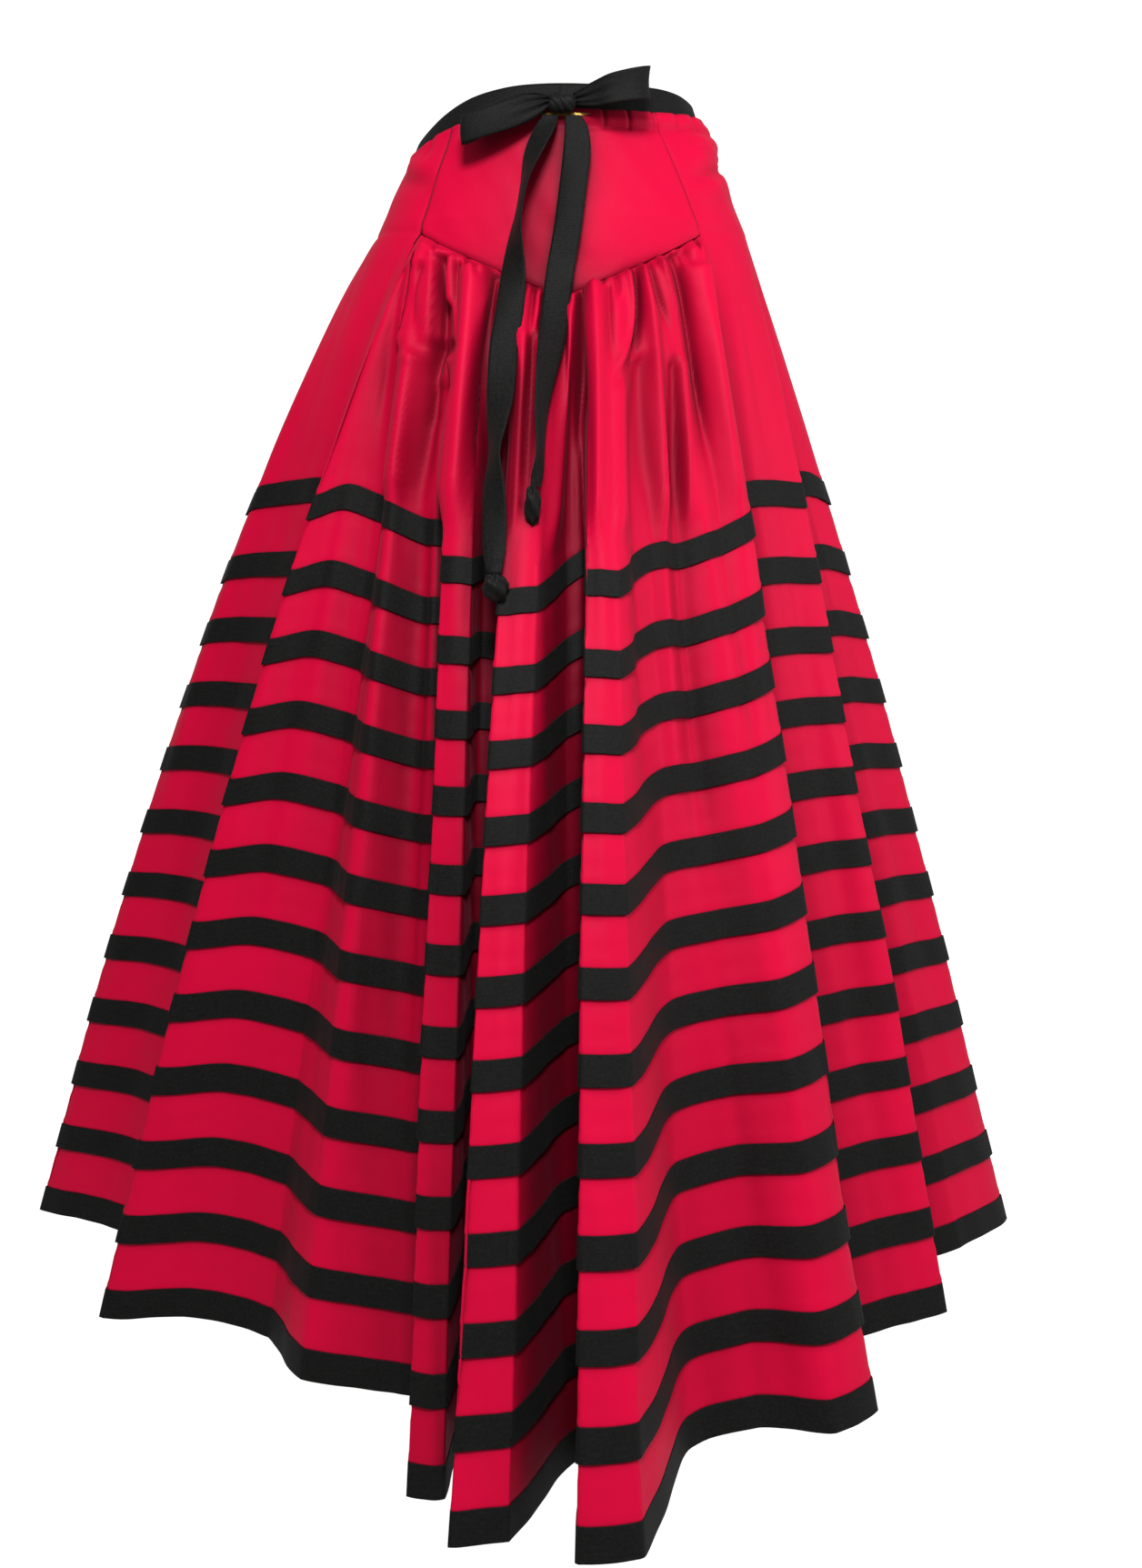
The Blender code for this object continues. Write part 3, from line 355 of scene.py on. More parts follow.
RIGHT_TAIL = (
    # z       x        twist  width
    (-0.0074,  0.0095,   0.0, 0.60),
    (-0.0200,  0.0125,   0.0, 0.85),
    (-0.0400,  0.0126,   5.0, 1.00),
    (-0.0648,  0.0098,   8.0, 1.00),
    (-0.1040,  0.0050,   5.0, 1.00),
    (-0.1430, -0.0015,   0.0, 1.00),
    (-0.1868, -0.0063,  -5.0, 1.00),
    (-0.2100, -0.0090, -25.0, 1.00),
    (-0.2304, -0.0117, -45.0, 1.00),
    (-0.2656, -0.0158, -62.0, 0.90),
    (-0.2997, -0.0165, -70.0, 0.75),
    (-0.3192, -0.0195, -35.0, 0.45),
    (-0.3255, -0.0205, -20.0, 0.35),
)
LEFT_KNOT = {"x": -0.0502, "z": -0.4022, "radii": (0.0095, 0.0075, 0.0100)}
RIGHT_KNOT = {"x": -0.0225, "z": -0.3394, "radii": (0.0060, 0.0060, 0.0145)}

# ---- the bow's loops: x, reach in front of the waist, height, share of the ribbon's width ----
LEFT_LOOP = (
    # x        y        z        width
    (-0.0100, -0.1010,  0.0050, 0.35),
    (-0.0260, -0.1060, -0.0015, 0.85),
    (-0.0420, -0.1110, -0.0085, 1.00),
    (-0.0600, -0.1120, -0.0145, 1.00),
    (-0.0750, -0.1095, -0.0185, 1.02),
    (-0.0840, -0.1050, -0.0200, 1.03),
    (-0.0840, -0.0985, -0.0195, 1.03),
    (-0.0760, -0.0945, -0.0150, 1.02),
    (-0.0580, -0.0960, -0.0065, 0.98),
    (-0.0400, -0.0985,  0.0005, 0.90),
    (-0.0250, -0.0990,  0.0045, 0.70),
    (-0.0100, -0.0985,  0.0060, 0.35),
)
RIGHT_LOOP = (
    # x        y        z        width
    (0.0100, -0.1015,  0.0060, 0.40),
    (0.0260, -0.1075,  0.0085, 0.85),
    (0.0400, -0.1150,  0.0110, 1.05),
    (0.0550, -0.1170,  0.0135, 1.12),
    (0.0670, -0.1140,  0.0160, 1.15),
    (0.0730, -0.1070,  0.0185, 1.15),
    (0.0725, -0.0990,  0.0205, 1.14),
    (0.0640, -0.0950,  0.0200, 1.12),
    (0.0500, -0.0965,  0.0170, 1.08),
    (0.0360, -0.0980,  0.0130, 0.95),
    (0.0250, -0.0985,  0.0095, 0.75),
    (0.0100, -0.0980,  0.0060, 0.40),
)
BOW_KNOT = {"centre": (0.0, -0.1020, 0.0022), "radii": (0.0114, 0.0074, 0.0080)}
KNOT_GROOVES = ((-0.62, 0.10, 0.09), (-0.12, 0.15, 0.10), (0.40, 0.12, 0.09))  # place, depth, width

# ---- the stage: a floor that sweeps up behind, two soft windows and white air ----
FLOOR_HALF_WIDTH = 8.0
SWEEP_START = 3.0         # how far behind the skirt the floor's quarter circle of radius 1 m begins
LAMPS = (
    # name            place               aimed at            side  watts
    ("window_above", (0.0, -1.6, 0.95), (0.0, -0.15, -0.6), 0.5, 38.0),
    ("window_right", (1.6, -0.5, 0.0), (0.0, -0.15, -0.5), 0.8, 9.0),
)
AIR_STRENGTH = 0.19


# ---- small helpers -------------------------------------------------------------
def linear(code):
    """Linear colour of an sRGB hex code: (c/12.92) below 0.04045, else ((c+0.055)/1.055)^2.4."""
    parts = [int(code[i:i + 2], 16) / 255 for i in (0, 2, 4)]
    return tuple(c / 12.92 if c <= 0.04045 else ((c + 0.055) / 1.055) ** 2.4 for c in parts)


def ease(value, low, high):
    """0 below low, 1 above high, and 3t^2 - 2t^3 between them."""
    t = np.clip((value - low) / (high - low), 0.0, 1.0)
    return t * t * (3 - 2 * t)


def hump(value, centre, half):
    """Bell curve of height 1: exp(-((value - centre) / half)^2)."""
    return np.exp(-((value - centre) / half) ** 2)


def unevenness(turn, waves, rise):
    """Sum of four sine waves between -1 and 1: each goes a whole number of times round a turn."""
    total = 0.0
    for index, (pitch, phase) in enumerate(((1.0, 0.4), (2.3, 2.1), (3.9, 4.4), (6.1, 1.3))):
        wave = round(waves * pitch) * turn + (1 + 0.4 * index) * rise + phase
        total = total + np.sin(wave) / (2.3 + 1.65 * index)
    return total


def spline(rows, steps):
    """Smooth curve through table rows (Catmull-Rom): steps points for each stretch, and the end."""
    rows = np.array(rows, dtype=float)
    padded = np.concatenate([2 * rows[:1] - rows[1:2], rows, 2 * rows[-1:] - rows[-2:-1]])
    place = np.linspace(0, len(rows) - 1, steps * (len(rows) - 1) + 1)
    first = np.minimum(place.astype(int), len(rows) - 2)
    t = (place - first)[:, None]
    p0, p1, p2, p3 = (padded[first + i] for i in range(4))
    return 0.5 * (2 * p1 + (p2 - p0) * t + (2 * p0 - 5 * p1 + 4 * p2 - p3) * t**2
                  + (3 * p1 - p0 - 3 * p2 + p3) * t**3)


def run_along(points):
    """Length along each row of a grid of points, added up from its first column."""
    steps = np.linalg.norm(np.diff(points, axis=1), axis=2)
    return np.concatenate([np.zeros((len(points), 1)), np.cumsum(steps, axis=1)], axis=1)


def area_of(points):
    """Area of a grid of points: half the cross product of each face's diagonals, added up."""
    one_way = points[1:, 1:] - points[:-1, :-1]
    other_way = points[1:, :-1] - points[:-1, 1:]
    return np.linalg.norm(np.cross(one_way, other_way), axis=2).sum() / 2


def in_photo(points):
    """Column and row of points in the photograph, and how many metres a pixel spans there."""
    x, y, z = np.moveaxis(points, -1, 0)
    pixel = (CAMERA_BACK + y) / FOCAL_PIXELS
    return LEVEL_COLUMN + x / pixel, LEVEL_ROW + (CAMERA_Z - z) / pixel, pixel


# ---- the skirt's surface --------------------------------------------------------
HEM_PLACES = LINE_VALUES[:, 1:3]
HEM_STEPS = np.sqrt(np.linalg.norm(np.roll(HEM_PLACES, -1, axis=0) - HEM_PLACES, axis=1))
LINE_KNOTS = np.concatenate([[0.0], np.cumsum(HEM_STEPS)])
ONE_TURN = np.array([360.0, 0, 0, 0, 0, 0])
LENGTH_STEPS = 80         # steps over which a line's length is added up


def line_values(line):
    """Hip angle, hem x, hem y, bell, pitch and lift at any line number.

    Closed cubic through the table's rows; its knots are the square roots of the steps at the hem,
    added up. The hip angle only ever grows, so its slopes are harmonic means.
    """
    line = np.asarray(line, dtype=float)
    first = np.floor(line).astype(int)
    part = (line - first)[..., None]

    def value(index):
        turns, row = np.divmod(index, LINE_COUNT)
        return LINE_VALUES[row] + turns[..., None] * ONE_TURN

    def knot(index):
        turns, row = np.divmod(index, LINE_COUNT)
        return (LINE_KNOTS[row] + turns * LINE_KNOTS[LINE_COUNT])[..., None]

    p0, p1, p2, p3 = (value(first + i) for i in (-1, 0, 1, 2))
    k0, k1, k2, k3 = (knot(first + i) for i in (-1, 0, 1, 2))
    span = k2 - k1
    before, slope, after = (p1 - p0) / (k1 - k0), (p2 - p1) / span, (p3 - p2) / (k3 - k2)
    slope_1 = (slope * (k1 - k0) + before * span) / (k2 - k0)
    slope_2 = (after * span + slope * (k3 - k2)) / (k3 - k1)
    turn_1, turn_2, turn_3 = (rate[..., 0] for rate in (before, slope, after))
    slope_1[..., 0] = 2 * turn_1 * turn_2 / (turn_1 + turn_2)
    slope_2[..., 0] = 2 * turn_2 * turn_3 / (turn_2 + turn_3)
    square, cube = part**2, part**3
    return ((2 * cube - 3 * square + 1) * p1 + (cube - 2 * square + part) * span * slope_1
            + (3 * square - 2 * cube) * p2 + (cube - square) * span * slope_2)


def crease_pull(line):
    """Step in hem x and hem y from the smooth curve to the straight chord, as far as creased."""
    line = np.asarray(line, dtype=float)
    first = np.floor(line).astype(int)
    part = line - first
    before, after = first % LINE_COUNT, (first + 1) % LINE_COUNT
    chord = HEM_PLACES[before] * (1 - part)[..., None] + HEM_PLACES[after] * part[..., None]
    share = CREASE_SHARES[before] * (1 - part) + CREASE_SHARES[after] * part
    return (chord - line_values(line)[..., 1:3]) * share[..., None]


def body_ring(degrees, z):
    """Plan place on the figure: an ellipse x = a sin, y = -b cos, deeper at the back."""
    half_width, front, back = (np.interp(z, BODY_RINGS[:, 0], BODY_RINGS[:, i]) for i in (1, 2, 3))
    angle = np.radians(degrees)
    depth = np.where(np.cos(angle) > 0, front, back)
    return half_width * np.sin(angle), -depth * np.cos(angle)


def from_front(degrees):
    """The angle between -180 and 180 degrees."""
    return (np.asarray(degrees) + 180.0) % 360.0 - 180.0


def hip_height(degrees):
    """Height at which the flare starts: the yoke's pointed seam in front, level elsewhere."""
    away = np.abs(from_front(degrees))
    point = np.clip(1.0 - away / YOKE_CORNER_DEG, 0.0, 1.0)
    side = np.clip((away - YOKE_CORNER_DEG) / SIDE_HIP_BLEND, 0.0, 1.0)
    return (YOKE_CORNER_Z + (YOKE_POINT_Z - YOKE_CORNER_Z) * point
            + (SIDE_HIP_Z - YOKE_CORNER_Z) * side)


def waist_height(degrees):
    """Height of the cloth's top edge: roll * sin^3 - dip * (1 - cos) - left dip * (-sin)^4."""
    angle = np.radians(degrees)
    sag = WAIST_LEFT_DIP * np.maximum(-np.sin(angle), 0.0) ** 4
    return WAIST_ROLL * np.sin(angle) ** 3 - WAIST_DIP * (1.0 - np.cos(angle)) - sag


def flare(line, down):
    """Point below the hip; down is 0 at the hip and 1 at the hem.

    In plan it goes the share down + bell * 4 q (1 - q) of the way from hip to hem, with
    q = down^0.75; its height falls evenly.
    """
    line, down = np.broadcast_arrays(np.asarray(line, float), np.asarray(down, float))
    hip, hem_x, hem_y, bell, _, lift = np.moveaxis(line_values(line), -1, 0)
    top_z = hip_height(hip)
    top_x, top_y = body_ring(hip, top_z)
    drop = FRONT_HEM_DROP * np.minimum(hem_y, 0) - BACK_HEM_DROP * np.maximum(hem_y, 0)
    hem_z = SIDE_HEM_Z + drop + lift
    eased = np.clip(down, 0.0, 1.0) ** SWELL_POWER
    out = down + bell * 4.0 * eased * (1.0 - eased)
    pull = crease_pull(line) * (CREASE_DEPTH * ease(down, *CREASE_TOP) * out)[..., None]
    return np.stack([top_x + (hem_x - top_x) * out + pull[..., 0],
                     top_y + (hem_y - top_y) * out + pull[..., 1],
                     top_z + (hem_z - top_z) * down], axis=-1)


def down_at(line, up):
    """Share from hip to hem at heights up from the hem along the cloth, for matching arrays.

    The length from the hem is added up along each line, and read back by its step.
    """
    line, up = np.broadcast_arrays(np.asarray(line, float), np.asarray(up, float))
    shape = line.shape
    lines, place = np.unique(line.ravel(), return_inverse=True)
    fine = np.linspace(1.0, 0.0, LENGTH_STEPS + 1)
    length = run_along(flare(lines[:, None], fine[None, :]))
    rows, wanted = length[place], up.ravel()[:, None]
    index = np.clip((rows < wanted).sum(axis=1), 1, LENGTH_STEPS)
    pick = np.arange(len(index))
    low, high = rows[pick, index - 1], rows[pick, index]
    share = np.clip((wanted[:, 0] - low) / (high - low), -0.2, 1.0)
    return (fine[index - 1] + (fine[index] - fine[index - 1]) * share).reshape(shape)


def waist_angle(hip_degrees):
    """The angle a line has at the waist: as at the hip, but for the lean of the right seam."""
    lean = YOKE_CORNER_DEG - YOKE_TOP_RIGHT_DEG
    away = np.abs(from_front(hip_degrees) - YOKE_CORNER_DEG)
    return hip_degrees - lean * np.clip(1.0 - away / SEAM_LEAN_BLEND, 0.0, 1.0)


def above_hip(line, share):
    """Point of the cloth between hip (share 0) and waist (share 1), on the figure's rings."""
    line, share = np.broadcast_arrays(np.asarray(line, float), np.asarray(share, float))
    hip = line_values(line)[..., 0]
    top = waist_angle(hip)
    z = hip_height(hip) * (1 - share) + waist_height(top) * share
    x, y = body_ring(hip * (1 - share) + top * share, z)
    return np.stack([x, y, z], axis=-1)


def turn_of(line):
    """The line number as an angle round the skirt, in radians."""
    return np.asarray(line) * 2 * math.pi / LINE_COUNT


def wrap_layer(line):
    """How far inside the outer layer the cloth lies: only the wrap's under layer does."""
    return -WRAP_LAYER * ease(line, *WRAP_TURN)


def band_edge(number):
    """Height of the lower edge of band 1 (top) to 12 (hem) up from the hem."""
    return (BAND_COUNT - number) * BAND_PITCH + (FIRST_BAND_EXTRA if number == 1 else 0.0)


# ---- relief: how far the cloth stands out from its smooth surface ---------------
# height up from the hem of the last lower row, half a gap over the top band
FLARE_TOP = band_edge(1) + BAND_WIDTH + (BAND_PITCH - BAND_WIDTH) / 2


def band_relief(line, up):
    """Cloth round the bands: set back under each lower edge and proud over each upper edge."""
    uneven = 1.0 + 0.7 * unevenness(turn_of(line), 16, up * 9.0)
    relief = 0.0
    for number in range(1, BAND_COUNT + 1):
        low = band_edge(number)
        relief = relief - BAND_TROUGH * hump(up, low - BAND_BESIDE, 0.0040)
        relief = relief + BAND_SWELL * hump(up, low + BAND_WIDTH + BAND_BESIDE, 0.0032)
    return relief * uneven


def fold_relief(line, up):
    """Soft folds of the table, each a bell across its line that eases in and out along it."""
    relief = 0.0
    for place, half, low, high, height in SOFT_FOLDS:
        length = high - low
        along = ease(up, low, low + 0.35 * length) * (1 - ease(up, high - 0.25 * length, high))
        relief = relief + height * hump(line % LINE_COUNT, place, half) * along
    return relief


def crease_relief(points, line):
    """Creases of the front's table, laid where the camera sees their marks.

    Each follows a parabola, column for row, through its three marks. Its profile is
    exp(-|offset / half|^power), with a power of 2 for a round ridge and a lower one for a trough.
    """
    column, row, pixel = in_photo(points)
    place = line % LINE_COUNT
    front = ease(place, 0.1, 0.8) * (1 - ease(place, FRONT_SEAMS[1] - 0.5, FRONT_SEAMS[1]))
    relief = 0.0
    for (column_1, row_1), (column_2, row_2), (column_3, row_3), half, height in FRONT_CREASES:
        path = (column_1 * (row - row_2) * (row - row_3) / ((row_1 - row_2) * (row_1 - row_3))
                + column_2 * (row - row_1) * (row - row_3) / ((row_2 - row_1) * (row_2 - row_3))
                + column_3 * (row - row_1) * (row - row_2) / ((row_3 - row_1) * (row_3 - row_2)))
        form = RIDGE if height > 0 else TROUGH
        across = np.exp(-(np.abs(column - path) * pixel / half) ** form["power"])
        along = ease((row_3 - row) / (row_3 - row_1), 0.0, form["fade"])
        start = 1 - ease((row_1 - row) * pixel, 0.0, CREASE_START)
        relief = relief + height * across * along * start
    return relief * front


def drape_relief(line, up):
    """Slight unevenness of hanging cloth: long slow waves, a little stronger towards the hem."""
    slow = unevenness(turn_of(line), 7, up * 5.0)
    quick = unevenness(turn_of(line), 21, up * 14.0)
    return (DRAPE_SLOW * slow + DRAPE_QUICK * quick) * (1.2 - 0.6 * np.clip(up / FLARE_TOP, 0, 1))


SEAM_SHARE = 0.35           # share of its depth that a crease or gather has at the yoke's seam
SEAM_EASE = (0.0, 0.008)    # metres under the seam over which it grows to the whole


def at_seam(drop):
    """Share of a crease's or gather's depth at distances under the yoke's seam."""
    return SEAM_SHARE + (1 - SEAM_SHARE) * ease(drop, *SEAM_EASE)


def gather_relief(degrees, drop):
    """Gathers under the yoke: pillowy puffs under the seam, parted by sharp troughs that die out.

    A trough's profile is exp(-|offset / half|^1.3), so its bottom is sharp and its shoulders round.
    """
    left, right = (LINE_VALUES[seam, 0] for seam in FRONT_SEAMS)
    inside = ease(degrees, left, left + 1.6) * (1 - ease(degrees, right - 2.0, right))
    relief = GATHER_PUFF * ease(drop, -0.002, 0.012) * (1 - ease(drop, 0.02, 0.14)) * inside
    for centre, depth, half, length, drift in GATHERS:
        offset = (degrees - centre - drift * drop) / (half * (1 + 7.0 * drop))
        across = np.exp(-np.abs(offset) ** 1.3)
        along = at_seam(drop) * (1 - ease(drop, 0.30 * length, length))
        relief = relief - depth * across * along * inside
    return relief


def waist_relief(degrees, z, below_top):
    """Above the hip: the casing at the top edge, its tucks, and soft folds at both sides."""
    angle = from_front(degrees)
    relief = 0.0
    for below, half, height, low, high in WAIST_CASING:
        relief = relief + height * hump(below_top, below, half) * ease(angle, low, high)
    for centre, depth, half in WAIST_TUCKS:
        relief = relief - depth * hump(angle, centre, half) * (1 - ease(below_top, 0.010, 0.020))
    lip = LIP_Z + LIP_SLANT * (angle - LIP_DEGREES[1])
    right = ease(angle, *LIP_DEGREES[:2]) * (1 - ease(angle, *LIP_DEGREES[2:]))
    for over, slant, half, height in LIP_FOLDS:
        relief = relief + right * height * hump(z, lip + over - slant * (angle - 70), half)
    left = ease(-angle, *LEFT_DEGREES[:2]) * (1 - ease(-angle, *LEFT_DEGREES[2:]))
    for level, half, height in LEFT_FOLDS:
        relief = relief + left * height * hump(z, level - LEFT_SLANT * (angle + 70), half)
    return relief + 0.0010 * unevenness(np.radians(angle), 5, z * 60.0)


# ---- meshes ---------------------------------------------------------------------
def grid_faces(rows, columns, wrap=False):
    """Quads of a grid counted row by row; wrap joins its last column to its first."""
    last = columns if wrap else columns - 1
    row, column = np.meshgrid(np.arange(rows - 1), np.arange(last), indexing="ij")
    beside = (column + 1) % columns
    corners = [row * columns + column, row * columns + beside,
               (row + 1) * columns + beside, (row + 1) * columns + column]
    return np.stack(corners, axis=-1).reshape(-1, 4)


def put_in(name, mesh):
    """Smooth-shaded object at the origin from a filled mesh."""
    mesh.validate()
    mesh.shade_smooth()
    made = bpy.data.objects.new(name, mesh)
    bpy.context.collection.objects.link(made)
    return made


def make_sheet(name, points, uv=None, wrap=False):
    """Object from a grid of points, with a UV map in metres; wrap joins its two side edges."""
    faces = grid_faces(*points.shape[:2], wrap=wrap)
    mesh = bpy.data.meshes.new(name)
    mesh.vertices.add(points.size // 3)
    mesh.vertices.foreach_set("co", np.ascontiguousarray(points, dtype=np.float32).ravel())
    mesh.loops.add(faces.size)
    mesh.loops.foreach_set("vertex_index", faces.astype(np.int32).ravel())
    mesh.polygons.add(len(faces))
    mesh.polygons.foreach_set("loop_start", np.arange(0, faces.size, 4, dtype=np.int32))
    mesh.update(calc_edges=True)
    if uv is not None:
        corners = np.ascontiguousarray(uv.reshape(-1, 2)[faces.ravel()], dtype=np.float32)
        mesh.uv_layers.new(name="UVMap").data.foreach_set("uv", corners.ravel())
    return put_in(name, mesh)


def make_shell(name, points, uv, thickness, wrap=False):
    """Closed shell of that thickness, inwards from a grid of points."""
    piece = make_sheet(name, points, uv, wrap)
    solid = piece.modifiers.new("Thickness", "SOLIDIFY")
    solid.thickness = thickness
    solid.offset = -1.0
    solid.use_rim = True
    return piece


def dress(piece, finish, nodes):
    """Give a piece its material and its body, and hide the solids it stands for."""
    piece.data.materials.clear()
    piece.data.materials.append(finish)
    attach(piece, "root")
    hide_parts(*nodes)


def normals_of(points):
    """Unit normals of a grid of points: cross product of its central differences."""
    across = np.gradient(points, axis=1)
    upwards = np.gradient(points, axis=0)
    normal = np.cross(across, upwards)
    return normal / np.linalg.norm(normal, axis=2, keepdims=True)


def spread(first, last, spacing):
    """Line numbers from one seam to the next: evenly spaced along the hem, closer at creases."""
    fine = np.linspace(first, last, int(round((last - first) * 100)) + 1)
    steps = np.linalg.norm(np.diff(flare(fine, 1.0), axis=0), axis=1)
    along = np.concatenate([[0.0], np.cumsum(steps)])
    dense = np.ones(len(fine))
    for number in range(math.ceil(first), math.floor(last) + 1):
        crease = CREASE_SHARES[number % LINE_COUNT]
        dense += CREASE_ROWS * crease * hump(along, np.interp(number, fine, along), CREASE_HALF)
    weighed = np.concatenate([[0.0], np.cumsum(steps * (dense[1:] + dense[:-1]) / 2)])
    count = int(round(weighed[-1] / spacing))
    return np.interp(np.linspace(0, weighed[-1], count + 1), weighed, fine)


def with_spares(line):
    """The same line numbers with one more beyond each end, so that normals are right at a seam."""
    return np.concatenate([[2 * line[0] - line[1]], line, [2 * line[-1] - line[-2]]])


def lower_heights():
    """Row heights from the hem to above the top band: close at the edges of each band."""
    steps = np.array([0.0, 0.0045, 0.0130, BAND_WIDTH - 0.0010, BAND_WIDTH + 0.0030,
                      BAND_WIDTH + 0.0080, 0.0400, 0.0490, 0.0545, 0.0575])
    rows = np.concatenate([band_edge(number) + steps for number in range(BAND_COUNT, 1, -1)])
    last = band_edge(1) + steps
    rows = np.concatenate([rows, last[last < FLARE_TOP - 0.001], [FLARE_TOP]])
    return rows[np.concatenate([[True], np.diff(rows) > 0.0008])]


def seamed(points, sides):
    """Draw a panel's two side edges in by half a seam gap, and roll them slightly inwards."""
    normal = normals_of(points)
    for edge, wanted in zip((slice(None), slice(None, None, -1)), sides):
        if not wanted:
            continue
        view, facing = points[:, edge], normal[:, edge]
        depth, half = SEAM_ROLL
        view -= facing * (depth * hump(run_along(view), 0.0, half))[..., None]
        beside = view[:, 1] - view[:, 0]
        view[:, 0] += beside / np.linalg.norm(beside, axis=1, keepdims=True) * SEAM_GAP / 2
    return points


def flare_grid(line, heights):
    """Rows of points at heights up from the hem, with the relief, on the given line numbers."""
    lines, up = np.meshgrid(line, heights)
    pitch = line_values(line)[:, 4]
    points = flare(lines, down_at(lines, up * pitch))
    relief = fold_relief(lines, up) + drape_relief(lines, up) + crease_relief(points, lines)
    return points, relief, up


def upper_grid(line, shares, top_line=None):
    """Rows from the last lower row up to the hip; share is 1 at that row and 0 at the hip."""
    lines, share = np.meshgrid(line, shares)
    if top_line is not None:
        lines = top_line + (lines - top_line) * share ** 0.8
    values = line_values(lines)
    top = down_at(lines, FLARE_TOP * values[..., 4])
    points = flare(lines, top * share)
    hip = flare(lines, 0 * share)
    drop = np.linalg.norm(points - hip, axis=2)
    full = np.linalg.norm(flare(lines, top) - hip, axis=2)
    up = FLARE_TOP + full - drop
    fade = ease(drop, 0.0, 0.05)
    relief = (fold_relief(lines, up) + drape_relief(lines, up)) * fade
    relief = relief + crease_relief(points, lines) * at_seam(drop)
    return points, relief, up, values[..., 0], drop


def body_grid(line, shares):
    """Rows from the hip to the waist, with the relief there."""
    lines, share = np.meshgrid(line, shares)
    points = above_hip(lines, share)
    hip = line_values(lines)[..., 0]
    degrees = hip * (1 - share) + waist_angle(hip) * share
    z = points[..., 2]
    return points, waist_relief(degrees, z, waist_height(degrees) - z)


def finish_grid(name, points, relief, up, sides, thickness, inside=0.0):
    """Move a grid of points out by its relief, trim the spare columns and make the shell."""
    points = points + normals_of(points) * (relief + inside)[..., None]
    points = seamed(points[:, 1:-1], sides)
    uv = np.stack([run_along(points), up[:, 1:-1]], axis=-1)
    return make_shell(name, points, uv, thickness)


UPPER_ROWS = np.linspace(1.0, 0.0, 50)[1:] ** 1.45
BODY_ROWS = np.linspace(0.0, 1.0, 30)[1:]


def side_panel(name, first, last, sides, sizes, wrapped=False):
    """Panel that runs in one from the hem to the waist."""
    line = with_spares(spread(first, last, sizes.mesh_step))
    low, low_relief, low_up = flare_grid(line, lower_heights())
    low_relief = low_relief + band_relief(line, low_up)
    mid, mid_relief, mid_up, _, drop = upper_grid(line, UPPER_ROWS)
    top, top_relief = body_grid(line, BODY_ROWS)
    # the soft folds of the waist die out over the first stretch of the flare
    hip_relief = body_grid(line, np.zeros(1))[1]
    mid_relief = mid_relief + hip_relief * (1 - ease(drop, 0.0, 0.04))
    points = np.concatenate([low, mid, top])
    relief = np.concatenate([low_relief, mid_relief, top_relief])
    body_steps = np.linalg.norm(np.diff(np.concatenate([mid[-1:], top]), axis=0), axis=2)
    up = np.concatenate([low_up, mid_up, mid_up[-1:] + np.cumsum(body_steps, axis=0)])
    inside = wrap_layer(line)[None, :] if wrapped else 0.0
    return finish_grid(name, points, relief, up, sides, sizes.cloth, inside)


def front_panel(sizes):
    """Gathered front, from the hem to the yoke's pointed seam."""
    line = spread(*FRONT_SEAMS, sizes.mesh_step)
    fine = np.linspace(*FRONT_SEAMS, 800)
    angles = line_values(fine)[:, 0]
    share = np.linspace(0.0, 1.0, len(line))
    top_angles = np.interp(share, (0.0, 0.5, 1.0), (angles[0], 0.0, angles[-1]))
    top_line = np.interp(top_angles, angles, fine)
    line, top_line = with_spares(line), with_spares(top_line)
    low, low_relief, low_up = flare_grid(line, lower_heights())
    low_relief = low_relief + band_relief(line, low_up)
    mid, mid_relief, mid_up, degrees, drop = upper_grid(line, UPPER_ROWS, top_line)
    mid_relief = mid_relief + gather_relief(degrees, drop)
    points = np.concatenate([low, mid])
    points[-1, :, 2] -= SEAM_GAP
    relief = np.concatenate([low_relief, mid_relief])
    return finish_grid("satin_front_gathered", points, relief, np.concatenate([low_up, mid_up]),
                       (True, True), sizes.cloth)


def yoke(sizes):
    """Pointed front yoke: on the figure's rings, its lower edge rolled in at the seam."""
    left, right = (LINE_VALUES[seam, 0] for seam in FRONT_SEAMS)
    degrees = np.concatenate([np.linspace(left, 0.0, 70), np.linspace(0.0, right, 70)[1:]])
    fine = np.linspace(*FRONT_SEAMS, 800)
    line = np.interp(degrees, line_values(fine)[:, 0], fine)
    line[0], line[-1] = FRONT_SEAMS
    line = with_spares(line)
    shares = np.concatenate([[0.0, 0.006, 0.014, 0.028], np.linspace(0.05, 1.0, 60)])
    points, relief = body_grid(line, shares)
    above = points[..., 2] - points[:1, :, 2]
    relief = relief * ease(above, 0.0, 0.010) - 0.0006 * hump(above, 0.0, 0.0022)
    return finish_grid("satin_front_yoke", points, relief, above, (True, True), sizes.cloth)


def ribbon_band(number, line, sizes):
    """Ribbon that follows the cloth, a little proud at its lower edge; returns it and its area."""
    low = band_edge(number)
    rows = np.array([0.0, 0.0006, 0.0075, 0.0150, BAND_WIDTH - 0.0006, BAND_WIDTH])
    heights = np.concatenate([[-0.003], rows, [BAND_WIDTH + 0.003]]) + low
    points, relief, up = flare_grid(line, heights)
    across = (up - low) / BAND_WIDTH
    lifted = 1 + unevenness(turn_of(line), 25, number * 1.7)
    proud = BAND_STAND_OFF + BAND_LIFT * (1 - across) * lifted
    outwards = relief + proud + wrap_layer(line - LINE_COUNT)
    points = (points + normals_of(points) * outwards[..., None])[1:-1, 1:-1]
    uv = np.stack(np.broadcast_arrays(run_along(points[:1]), across[1:-1, 1:-1] * BAND_WIDTH), axis=-1)
    return make_shell(f"ribbon_band_{number:02d}", points, uv, sizes.ribbon), area_of(points)


